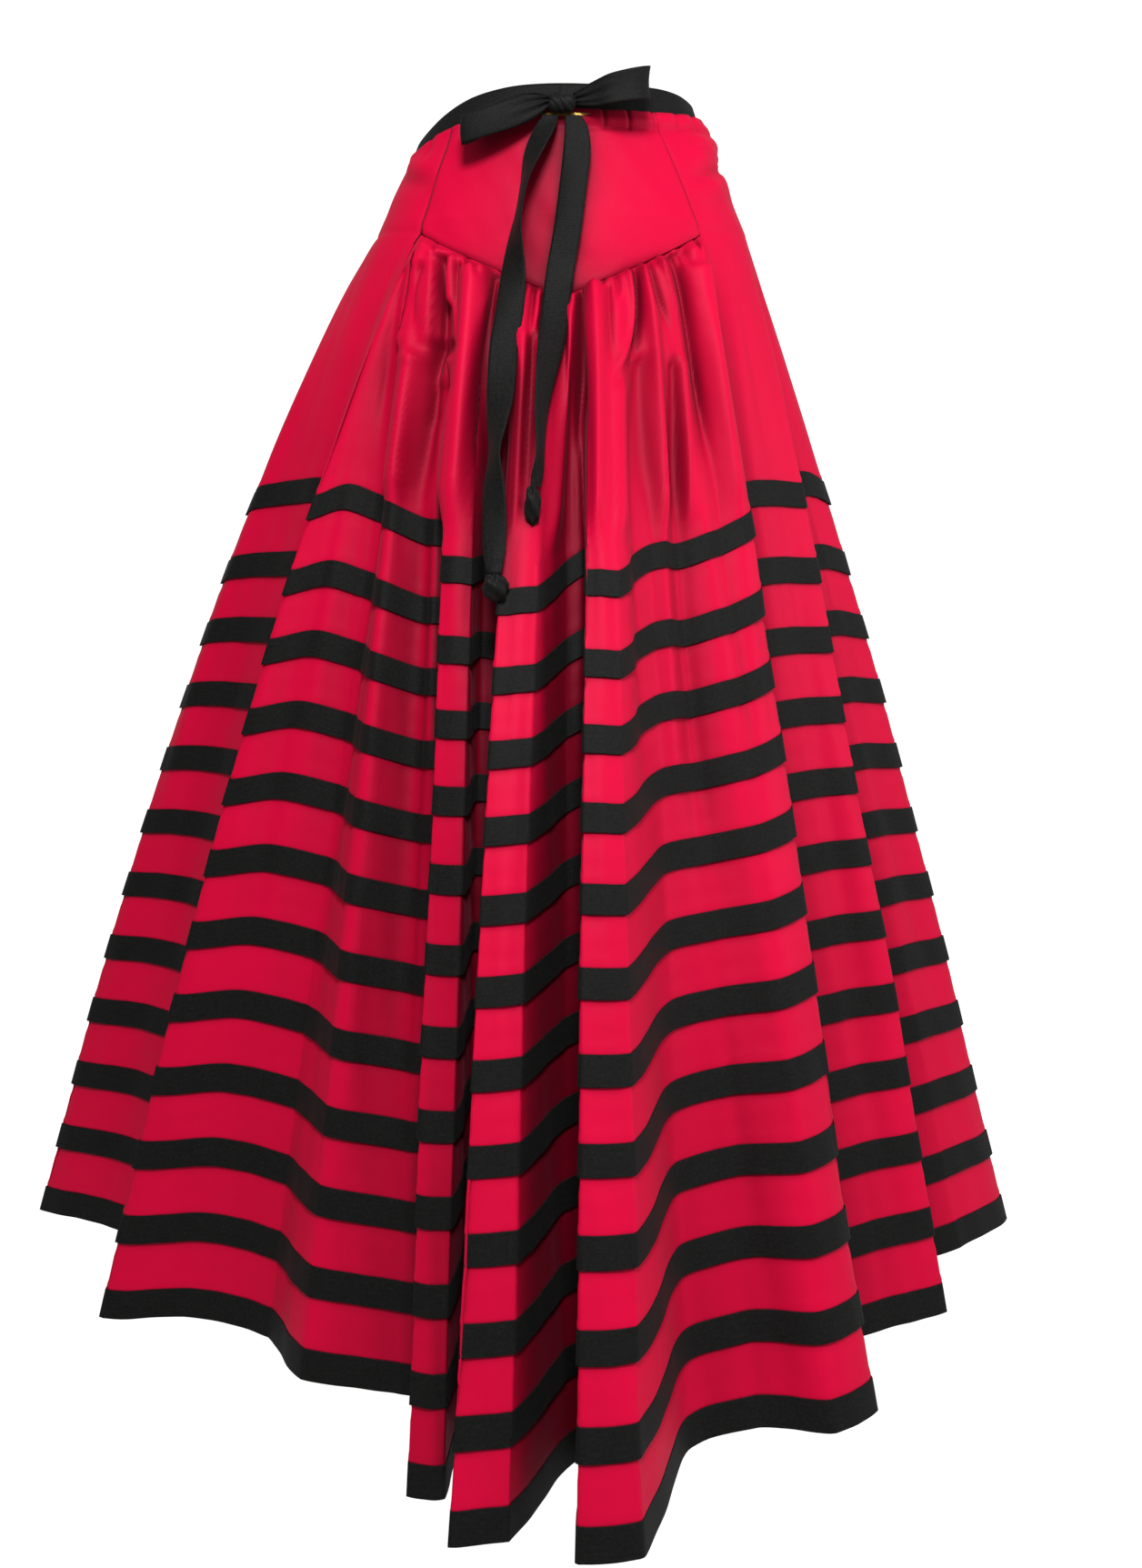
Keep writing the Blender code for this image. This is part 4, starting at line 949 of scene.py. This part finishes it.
def waist_ribbon(sizes):
    """Ribbon round the waist: a closed ring just inside the cloth's top edge, with slight waves."""
    degrees = np.linspace(0, 360, 288, endpoint=False)[None, :]
    share = np.linspace(0, 1, 10)[:, None]
    upright = 1.0 - WAISTBAND_ROLLED * np.sin(np.radians(degrees)) ** 6
    rise = -WAISTBAND_BELOW + (WAISTBAND_HEIGHT * upright + WAISTBAND_BELOW) * share
    z = waist_height(degrees) + rise
    x, y = body_ring(degrees, z)
    wave = 1.0 + 0.009 * unevenness(np.radians(degrees), 3, 0.0) * share
    inside = WAISTBAND_INSIDE + 0.004 * ease(rise, 0.0, 0.006)
    points = np.stack([x * inside * wave, y * inside * wave, z], axis=-1)
    uv = np.stack(np.broadcast_arrays(np.radians(degrees) * WAIST_RADIUS, rise), axis=-1)
    return make_shell("ribbon_waist", points, uv, sizes.ribbon, wrap=True)


def front_depth(x, z):
    """Furthest reach of the cloth towards the front at places across and heights."""
    line = np.linspace(*FRONT_SEAMS, 500)[:, None]
    hip = line_values(line)[..., 0]
    top = hip_height(hip)
    hem = flare(line, np.ones(line.shape))[..., 2]
    down = np.clip((top - z) / (top - hem), 0.0, 1.0)
    cloth = flare(line + 0 * z, down)
    ring_x, ring_y = body_ring(hip + 0 * z, z + 0 * hip)
    above = z > top
    across = np.where(above, ring_x, cloth[..., 0])
    reach = np.where(above, ring_y, cloth[..., 1])
    return np.where(np.abs(across - x) < TAIL_REACH, reach, 0.0).min(axis=0)


def knot_depth(knot):
    """How far forward the knot at a tail's end hangs."""
    reach = front_depth(np.array([knot["x"]]), np.array([knot["z"]]))[0]
    return reach - TAIL_CLEAR - KNOT_PROUD * knot["radii"][1]


def tail(name, rows, knot, sizes):
    """Hanging ribbon end: follows the cloth, turns away where it twists, and curls across slightly."""
    z, x, twist, share = spline(rows, 7).T
    half = TIE_WIDTH * share / 2
    turn = np.radians(twist)
    depth = front_depth(x, z) - TAIL_CLEAR - half * np.abs(np.sin(turn))
    keep = np.ones(9) / 9
    depth = np.convolve(np.pad(depth, 4, mode="edge"), keep, mode="valid")
    last = ease(np.arange(len(z)), len(z) - 8, len(z) - 1)
    depth = depth * (1 - last) + knot_depth(knot) * last
    side = np.linspace(-1, 1, 11)[None, :]
    across = np.stack([np.cos(turn), -np.sin(turn), 0 * turn], axis=1)[:, None]
    outward = np.stack([-np.sin(turn), -np.cos(turn), 0 * turn], axis=1)[:, None]
    curl = TAIL_CURL * (1 - side**2) * (0.6 + 0.5 * np.sin(z * 60.0)[:, None])
    points = (np.stack([x, depth, z], axis=1)[:, None] + across * (side * half[:, None])[..., None]
              + outward * curl[..., None])
    uv = np.stack(np.broadcast_arrays(side * half[:, None], z[:, None]), axis=-1)
    return make_shell(name, points[::-1], uv[::-1], sizes.tie)


def loop(name, rows, sizes):
    """Loop of the bow: a strip along a smooth path, out from the knot, round its end and back."""
    path = spline(rows, 8)
    place, share = path[:, :3], path[:, 3]
    along = np.gradient(place, axis=0)
    along /= np.linalg.norm(along, axis=1, keepdims=True)
    side = np.stack([along[:, 1], -along[:, 0], 0 * share], axis=1)
    side /= np.linalg.norm(side, axis=1, keepdims=True)
    up = np.cross(side, along)
    up /= np.linalg.norm(up, axis=1, keepdims=True)
    half = TIE_WIDTH * share / 2
    width = np.linspace(-1, 1, 13)[None, :]
    near = 1 - ease(np.abs(place[:, 0]), 0.015, 0.050)
    pleat = LOOP_PLEAT * near[:, None] * np.cos(width * 2.6 * math.pi) + LOOP_CURVE * (1 - width**2)
    points = (place[:, None] + up[:, None] * (width * half[:, None])[..., None]
              - side[:, None] * pleat[..., None])
    uv = np.stack(np.broadcast_arrays(width * half[:, None], run_along(place[None]).T), axis=-1)
    return make_shell(name, points, uv, sizes.tie)


def closed_form(name, radius_of, centre, radii, poles_up=True, rows=40, columns=56):
    """Closed lump: an ellipsoid whose radius is scaled by radius_of(turn, rise), with closed poles."""
    rise = np.linspace(-math.pi / 2, math.pi / 2, rows)[1:-1, None]
    turn = np.linspace(0, 2 * math.pi, columns, endpoint=False)[None, :]
    sphere = np.stack(np.broadcast_arrays(
        np.cos(turn) * np.cos(rise), np.sin(turn) * np.cos(rise), np.sin(rise)), axis=-1)
    points = sphere * radius_of(turn, rise)[..., None]
    if not poles_up:
        points = points[..., [2, 0, 1]]
    points = np.array(centre) + points * np.array(radii)
    rows_made = points.shape[0]
    ends = points[[0, -1]].mean(axis=1)
    body = points.reshape(-1, 3)
    faces = grid_faces(rows_made, columns, wrap=True)
    ring = np.arange(columns)
    beside = (ring + 1) % columns
    low, high = len(body), len(body) + 1
    last = (rows_made - 1) * columns
    bottom = np.stack([np.full(columns, low), beside, ring], axis=1)
    top = np.stack([np.full(columns, high), last + ring, last + beside], axis=1)
    mesh = bpy.data.meshes.new(name)
    mesh.from_pydata(np.concatenate([body, ends]).tolist(), [],
                     faces.tolist() + bottom.tolist() + top.tolist())
    return put_in(name, mesh)


# ---- materials ------------------------------------------------------------------
RIB_PITCH = 0.0011    # coarser than real ribs, so that they show
WAVE_SPAN = 0.314     # length of one band of the wave texture at a scale of 1


def add_node(tree, kind, settings=None, **links):
    """Add a node, set its attributes and plain inputs, and link sockets given as keywords."""
    node = tree.nodes.new(kind)
    for key, value in (settings or {}).items():
        if isinstance(key, str) and hasattr(node, key):
            setattr(node, key, value)
        else:
            node.inputs[key].default_value = value
    for key, source in links.items():
        target = int(key[1:]) if key[1:].isdigit() else key.replace("_", " ")
        tree.links.new(source, node.inputs[target])
    return node


def new_material(name, **inputs):
    """Node material with a Principled shader, its plain inputs set; returns it, its tree and shader."""
    finish = bpy.data.materials.new(name)
    finish.use_nodes = True
    shader = finish.node_tree.nodes["Principled BSDF"]
    for key, value in inputs.items():
        shader.inputs[key.replace("_", " ")].default_value = value
    return finish, finish.node_tree, shader


def satin_finish(colours):
    """Satin-faced cotton, piece-dyed: a smooth float face with a soft broad sheen.

    Fibres catch light at a grazing angle, so the red greys towards pink there; the dye is a
    little uneven and the yarns run down the cloth. Creases and closed-in places between folds carry
    painted shade in the base colour.
    """
    finish, tree, shader = new_material(
        "satin_faced_cotton", Roughness=0.58, Specular_IOR_Level=0.24,
        Specular_Tint=(1.0, 0.44, 0.58, 1.0), Sheen_Weight=0.10, Sheen_Roughness=0.40,
        Sheen_Tint=(*colours.satin_sheen, 1.0))
    uv = add_node(tree, "ShaderNodeTexCoord").outputs["UV"]
    place = add_node(tree, "ShaderNodeTexCoord").outputs["Object"]
    # warp floats: 0.9 mm across and 14 mm long, coarser than real threads so that they show
    floats = add_node(tree, "ShaderNodeMapping", {"Scale": (1100.0, 70.0, 1.0)}, Vector=uv)
    yarn = add_node(tree, "ShaderNodeTexNoise", {"Scale": 1.0, "Detail": 2.0}, Vector=floats.outputs[0])
    dye = add_node(tree, "ShaderNodeTexNoise", {"Scale": 9.0, "Detail": 3.0}, Vector=place)
    tone = add_node(tree, "ShaderNodeMix", {"data_type": "RGBA", "factor_mode": "UNIFORM"},
                    Factor=dye.outputs["Fac"])
    tone.inputs[6].default_value = (*colours.satin_deep, 1.0)
    tone.inputs[7].default_value = (*colours.satin, 1.0)
    # painted shade: ambient occlusion darkens the base colour, so creases and closed-in places between
    # folds are painted a deeper red
    inside = add_node(tree, "ShaderNodeAmbientOcclusion", {"samples": 8, "Distance": 0.11})
    shade = {"From Min": 0.40, "From Max": 1.00, "To Min": 0.20, "To Max": 1.0}
    painted_crease_shade = add_node(tree, "ShaderNodeMapRange", shade, Value=inside.outputs["AO"])
    # the red tone scaled down by the painted shade
    shaded = add_node(tree, "ShaderNodeVectorMath", {"operation": "SCALE"})
    tree.links.new(tone.outputs[2], shaded.inputs[0])
    tree.links.new(painted_crease_shade.outputs[0], shaded.inputs["Scale"])
    tree.links.new(shaded.outputs[0], shader.inputs["Base Color"])
    # soft handling creases, 15 to 60 mm long
    crumple = add_node(tree, "ShaderNodeTexNoise", {"Scale": 18.0, "Detail": 3.0, "Roughness": 0.45},
                       Vector=place)
    weave = add_node(tree, "ShaderNodeBump", {"Strength": 0.10, "Distance": 0.0003},
                     Height=yarn.outputs["Fac"])
    creases = add_node(tree, "ShaderNodeBump", {"Strength": 0.30, "Distance": 0.0060},
                       Height=crumple.outputs["Fac"], Normal=weave.outputs[0])
    tree.links.new(creases.outputs[0], shader.inputs["Normal"])
    return finish


def grosgrain_finish(name, colours, along_axis):
    """Black rayon grosgrain ribbon: matt ribs across its length, with fine streaks along it."""
    finish, tree, shader = new_material(name, Roughness=0.60, Specular_IOR_Level=0.15,
                                        Sheen_Weight=0.02, Sheen_Roughness=0.5)
    uv = add_node(tree, "ShaderNodeTexCoord").outputs["UV"]
    # streaks 0.7 mm wide and 17 mm long
    scale = (60.0, 1500.0, 1.0) if along_axis == "X" else (1500.0, 60.0, 1.0)
    stretched = add_node(tree, "ShaderNodeMapping", {"Scale": scale}, Vector=uv)
    streak = add_node(tree, "ShaderNodeTexNoise", {"Scale": 1.0, "Detail": 3.0, "Roughness": 0.65},
                      Vector=stretched.outputs[0])
    mottle = add_node(tree, "ShaderNodeTexNoise", {"Scale": 420.0, "Detail": 2.0}, Vector=uv)
    blend = add_node(tree, "ShaderNodeMath", {"operation": "MULTIPLY"})
    tree.links.new(streak.outputs["Fac"], blend.inputs[0])
    tree.links.new(mottle.outputs["Fac"], blend.inputs[1])
    ramp = add_node(tree, "ShaderNodeValToRGB", Fac=blend.outputs[0])
    for stop, place, colour in zip(ramp.color_ramp.elements, (0.12, 0.42),
                                   (colours.ribbon, colours.ribbon_worn)):
        stop.position = place
        stop.color = (*colour, 1.0)
    tree.links.new(ramp.outputs[0], shader.inputs["Base Color"])
    ribs = {"wave_type": "BANDS", "bands_direction": along_axis,
            "Scale": WAVE_SPAN / RIB_PITCH, "Distortion": 0.4}
    rib = add_node(tree, "ShaderNodeTexWave", ribs, Vector=uv)
    relief = add_node(tree, "ShaderNodeBump", {"Strength": 0.30, "Distance": 0.0004},
                      Height=rib.outputs["Fac"])
    rough = add_node(tree, "ShaderNodeBump", {"Strength": 0.45, "Distance": 0.0006},
                     Height=streak.outputs["Fac"], Normal=relief.outputs[0])
    tree.links.new(rough.outputs[0], shader.inputs["Normal"])
    return finish


def gilt_finish(colours):
    """Gilt brass, drawn and polished: warm metal with fine lengthwise scratches."""
    finish, tree, shader = new_material("gilt_brass", Base_Color=(*colours.gilt, 1.0), Metallic=1.0,
                                        Roughness=0.28)
    place = add_node(tree, "ShaderNodeTexCoord").outputs["Object"]
    stretched = add_node(tree, "ShaderNodeMapping", {"Scale": (90.0, 2400.0, 2400.0)}, Vector=place)
    scratch = add_node(tree, "ShaderNodeTexNoise", {"Scale": 1.0, "Detail": 3.0},
                       Vector=stretched.outputs[0])
    relief = add_node(tree, "ShaderNodeBump", {"Strength": 0.25, "Distance": 0.0002},
                      Height=scratch.outputs["Fac"])
    tree.links.new(relief.outputs[0], shader.inputs["Normal"])
    return finish


def studio_finish():
    """Lit white acrylic of the studio floor: it looks white itself, and throws only a little light."""
    finish, tree, shader = new_material(
        "lit_white_acrylic_floor", Base_Color=(0.30, 0.30, 0.30, 1.0), Roughness=0.9,
        Specular_IOR_Level=0.0, Emission_Color=(1.0, 1.0, 1.0, 1.0))
    seen = add_node(tree, "ShaderNodeLightPath").outputs["Is Camera Ray"]
    glow = add_node(tree, "ShaderNodeMapRange", {"To Min": 0.25, "To Max": 1.0}, Value=seen)
    tree.links.new(glow.outputs[0], shader.inputs["Emission Strength"])
    return finish


# ---- properties -------------------------------------------------------------------
class SkirtSizes(bpy.types.PropertyGroup):
    """Sizes of the cloth and of the ribbons."""

    cloth: FloatProperty(name="Satin", description="Thickness of the satin", default=0.0008,
                         unit="LENGTH")
    ribbon: FloatProperty(name="Band ribbon", description="Thickness of the ribbon bands",
                          default=0.0007, unit="LENGTH")
    tie: FloatProperty(name="Tie ribbon", description="Thickness of the bow's ribbon",
                       default=0.0008, unit="LENGTH")
    mesh_step: FloatProperty(name="Mesh step", description="Width of a mesh face at the hem",
                             default=0.0056, unit="LENGTH")


class SkirtColours(bpy.types.PropertyGroup):
    """Colours of the cloth, the ribbon and the metal."""

    satin: FloatVectorProperty(name="Satin", description="Red of the satin", subtype="COLOR",
                               default=linear("E8003E"))
    satin_deep: FloatVectorProperty(name="Deep satin", description="Red where the dye took deeper",
                                    subtype="COLOR", default=linear("D20036"))
    satin_sheen: FloatVectorProperty(name="Sheen", description="Tint of the satin's sheen",
                                     subtype="COLOR", default=linear("FF7A96"))
    ribbon: FloatVectorProperty(name="Ribbon", description="Black of the ribbon", subtype="COLOR",
                                default=linear("080707"))
    ribbon_worn: FloatVectorProperty(name="Lit ribbon", description="Black of the ribbon's raised yarns",
                                     subtype="COLOR", default=linear("191A19"))
    gilt: FloatVectorProperty(name="Gilt", description="Colour of the gilt bar", subtype="COLOR",
                              default=linear("D8B05A"))


# ---- operators --------------------------------------------------------------------
class SKIRT_OT_panels(bpy.types.Operator):
    """Make the yoke, the gathered front, the side fronts and the two wrapped backs"""

    bl_idname = "skirt.panels"
    bl_label = "Satin panels"

    def execute(self, context):
        sizes, colours = context.scene.skirt_sizes, context.scene.skirt_colours
        satin = satin_finish(colours)
        left_side, right_side = SIDE_SEAMS
        made = [yoke(sizes), front_panel(sizes)]
        for node, first, last, sewn in (
                ("side_front_left", left_side, LINE_COUNT, (True, True)),
                ("side_front_right", FRONT_SEAMS[1], right_side, (True, True)),
                ("back_right", right_side, WRAP_UNDER_LINE, (True, False)),
                ("back_left", WRAP_OUTER_LINE, left_side, (False, True))):
            wrapped = node == "back_right"
            made.append(side_panel(f"satin_{node}", first, last, sewn, sizes, wrapped))
        for piece in made:
            node = piece.name.removeprefix("satin_")
            dress(piece, satin, [node])
        return {"FINISHED"}


class SKIRT_OT_bands(bpy.types.Operator):
    """Make the twelve ribbon bands round the skirt"""

    bl_idname = "skirt.bands"
    bl_label = "Ribbon bands"

    def execute(self, context):
        sizes, colours = context.scene.skirt_sizes, context.scene.skirt_colours
        finish = grosgrain_finish("black_grosgrain_band", colours, "X")
        left_side, right_side = SIDE_SEAMS
        stops = (WRAP_OUTER_LINE, left_side, LINE_COUNT, LINE_COUNT + FRONT_SEAMS[1],
                 LINE_COUNT + right_side, LINE_COUNT + WRAP_UNDER_LINE)
        parts = [spread(first, last, sizes.mesh_step)[:-1] for first, last in zip(stops, stops[1:])]
        line = with_spares(np.concatenate([*parts, [stops[-1]]]))
        for number in range(1, BAND_COUNT + 1):
            piece, area = ribbon_band(number, line, sizes)
            dress(piece, finish, [f"ribbon_{number:02d}"])
        return {"FINISHED"}


class SKIRT_OT_waist(bpy.types.Operator):
    """Make the ribbon round the waist"""

    bl_idname = "skirt.waist"
    bl_label = "Waist ribbon"

    def execute(self, context):
        sizes, colours = context.scene.skirt_sizes, context.scene.skirt_colours
        piece = waist_ribbon(sizes)
        dress(piece, grosgrain_finish("black_grosgrain_waist", colours, "X"), ["waistband"])
        return {"FINISHED"}


class SKIRT_OT_bow(bpy.types.Operator):
    """Make the bow: two loops, two hanging tails, their knots and the centre knot"""

    bl_idname = "skirt.bow"
    bl_label = "Ribbon bow"

    def execute(self, context):
        sizes, colours = context.scene.skirt_sizes, context.scene.skirt_colours
        finish = grosgrain_finish("black_grosgrain_tie", colours, "Y")
        strips = {
            "bow_loop_left": loop("ribbon_loop_left", LEFT_LOOP, sizes),
            "bow_loop_right": loop("ribbon_loop_right", RIGHT_LOOP, sizes),
            "tail_left": tail("ribbon_tail_left", LEFT_TAIL, LEFT_KNOT, sizes),
            "tail_right": tail("ribbon_tail_right", RIGHT_TAIL, RIGHT_KNOT, sizes),
        }
        for node, piece in strips.items():
            dress(piece, finish, [node])

        def wound(turn, rise):
            return 1 + 0.10 * np.sin(3 * turn + 5 * rise) + 0.05 * np.sin(7 * turn - 2 * rise)

        def centre_form(turn, rise):
            barrel = (np.cos(rise) ** 4 + np.sin(rise) ** 4) ** -0.25
            across = np.sin(rise) + 0.40 * np.sin(turn)
            grooves = sum(deep * hump(across, place, wide) for place, deep, wide in KNOT_GROOVES)
            nub = 0.30 * hump(turn, math.pi / 2, 0.45) * hump(np.sin(rise), -0.45, 0.30)
            return barrel - grooves + nub

        knot = closed_form("ribbon_knot_centre", centre_form, BOW_KNOT["centre"], BOW_KNOT["radii"],
                           poles_up=False)
        dress(knot, finish, ["bow_knot"])
        for name, node, place in (("ribbon_knot_left", "tail_knot_left", LEFT_KNOT),
                                  ("ribbon_knot_right", "tail_knot_right", RIGHT_KNOT)):
            middle = (place["x"], knot_depth(place), place["z"])
            dress(closed_form(name, wound, middle, place["radii"]), finish, [node])
        bar = bpy.data.objects["gold_bar"]
        bar.material_slots[0].material = gilt_finish(colours)
        return {"FINISHED"}


class SKIRT_OT_stage(bpy.types.Operator):
    """Make the pale floor that sweeps up behind, the soft lights and the camera"""

    bl_idname = "skirt.stage"
    bl_label = "Stage"

    def execute(self, context):
        scene = context.scene
        # flat, then the quarter circle, then upright
        arc = np.linspace(0, math.pi / 2, 24)
        reach = np.concatenate([[-7.0, -2.0, 1.0], SWEEP_START + np.sin(arc), [SWEEP_START + 1]])
        rise = np.concatenate([[0.0, 0.0, 0.0], 1 - np.cos(arc), [6.0]]) + FLOOR_Z
        across = FLOOR_HALF_WIDTH * np.array([-1.0, 1.0])
        points = np.stack(np.broadcast_arrays(across, reach[:, None], rise[:, None]), axis=-1)
        floor = make_sheet("studio_floor", points)
        floor.data.materials.append(studio_finish())

        for name, place, target, side, watts in LAMPS:
            light = bpy.data.lights.new(name, "AREA")
            light.shape = "SQUARE"
            light.size = side
            light.energy = watts
            made = bpy.data.objects.new(name, light)
            made.location = place
            made.rotation_mode = "QUATERNION"
            made.rotation_quaternion = (Vector(place) - Vector(target)).to_track_quat("Z", "Y")
            bpy.context.collection.objects.link(made)

        world = bpy.data.worlds.new("studio_air")
        world.use_nodes = True
        sky = world.node_tree.nodes["Background"]
        sky.inputs["Color"].default_value = (1.0, 1.0, 1.0, 1.0)
        sky.inputs["Strength"].default_value = AIR_STRENGTH
        scene.world = world
        scene.view_settings.view_transform = "Standard"

        # the frame reaches down by a shift, so that the camera stays level
        camera = bpy.data.cameras.new("camera")
        camera.sensor_width = 36.0
        camera.lens = camera.sensor_width * FOCAL_PIXELS / PHOTO_HEIGHT
        camera.shift_x = (PHOTO_WIDTH / 2 - LEVEL_COLUMN) / PHOTO_HEIGHT
        camera.shift_y = (LEVEL_ROW - PHOTO_HEIGHT / 2) / PHOTO_HEIGHT
        made = bpy.data.objects.new("camera", camera)
        made.location = (0.0, -CAMERA_BACK, CAMERA_Z)
        made.rotation_euler = (math.pi / 2, 0.0, 0.0)
        bpy.context.collection.objects.link(made)
        scene.camera = made
        return {"FINISHED"}


class SKIRT_PT_sidebar(bpy.types.Panel):
    """Lists the skirt's sizes, colours and operators"""

    bl_label = "Skirt"
    bl_idname = "SKIRT_PT_sidebar"
    bl_space_type = "VIEW_3D"
    bl_region_type = "UI"
    bl_category = "Skirt"

    def draw(self, context):
        for group in (context.scene.skirt_sizes, context.scene.skirt_colours):
            for name in group.__annotations__:
                self.layout.prop(group, name)
        for operator in OPERATORS:
            self.layout.operator(operator.bl_idname)


OPERATORS = (SKIRT_OT_panels, SKIRT_OT_bands, SKIRT_OT_waist, SKIRT_OT_bow, SKIRT_OT_stage)
CLASSES = (SkirtSizes, SkirtColours, *OPERATORS, SKIRT_PT_sidebar)


def register():
    """Register the classes and hang the two groups of properties on the scene."""
    for made in CLASSES:
        bpy.utils.register_class(made)
    bpy.types.Scene.skirt_sizes = PointerProperty(type=SkirtSizes)
    bpy.types.Scene.skirt_colours = PointerProperty(type=SkirtColours)


def unregister():
    """Take the properties and the classes away again."""
    del bpy.types.Scene.skirt_colours
    del bpy.types.Scene.skirt_sizes
    for made in reversed(CLASSES):
        bpy.utils.unregister_class(made)


def main():
    """Make the whole skirt and its stage."""
    register()
    bpy.ops.skirt.panels()
    bpy.ops.skirt.bands()
    bpy.ops.skirt.waist()
    bpy.ops.skirt.bow()
    bpy.ops.skirt.stage()


if __name__ == "__main__":
    main()
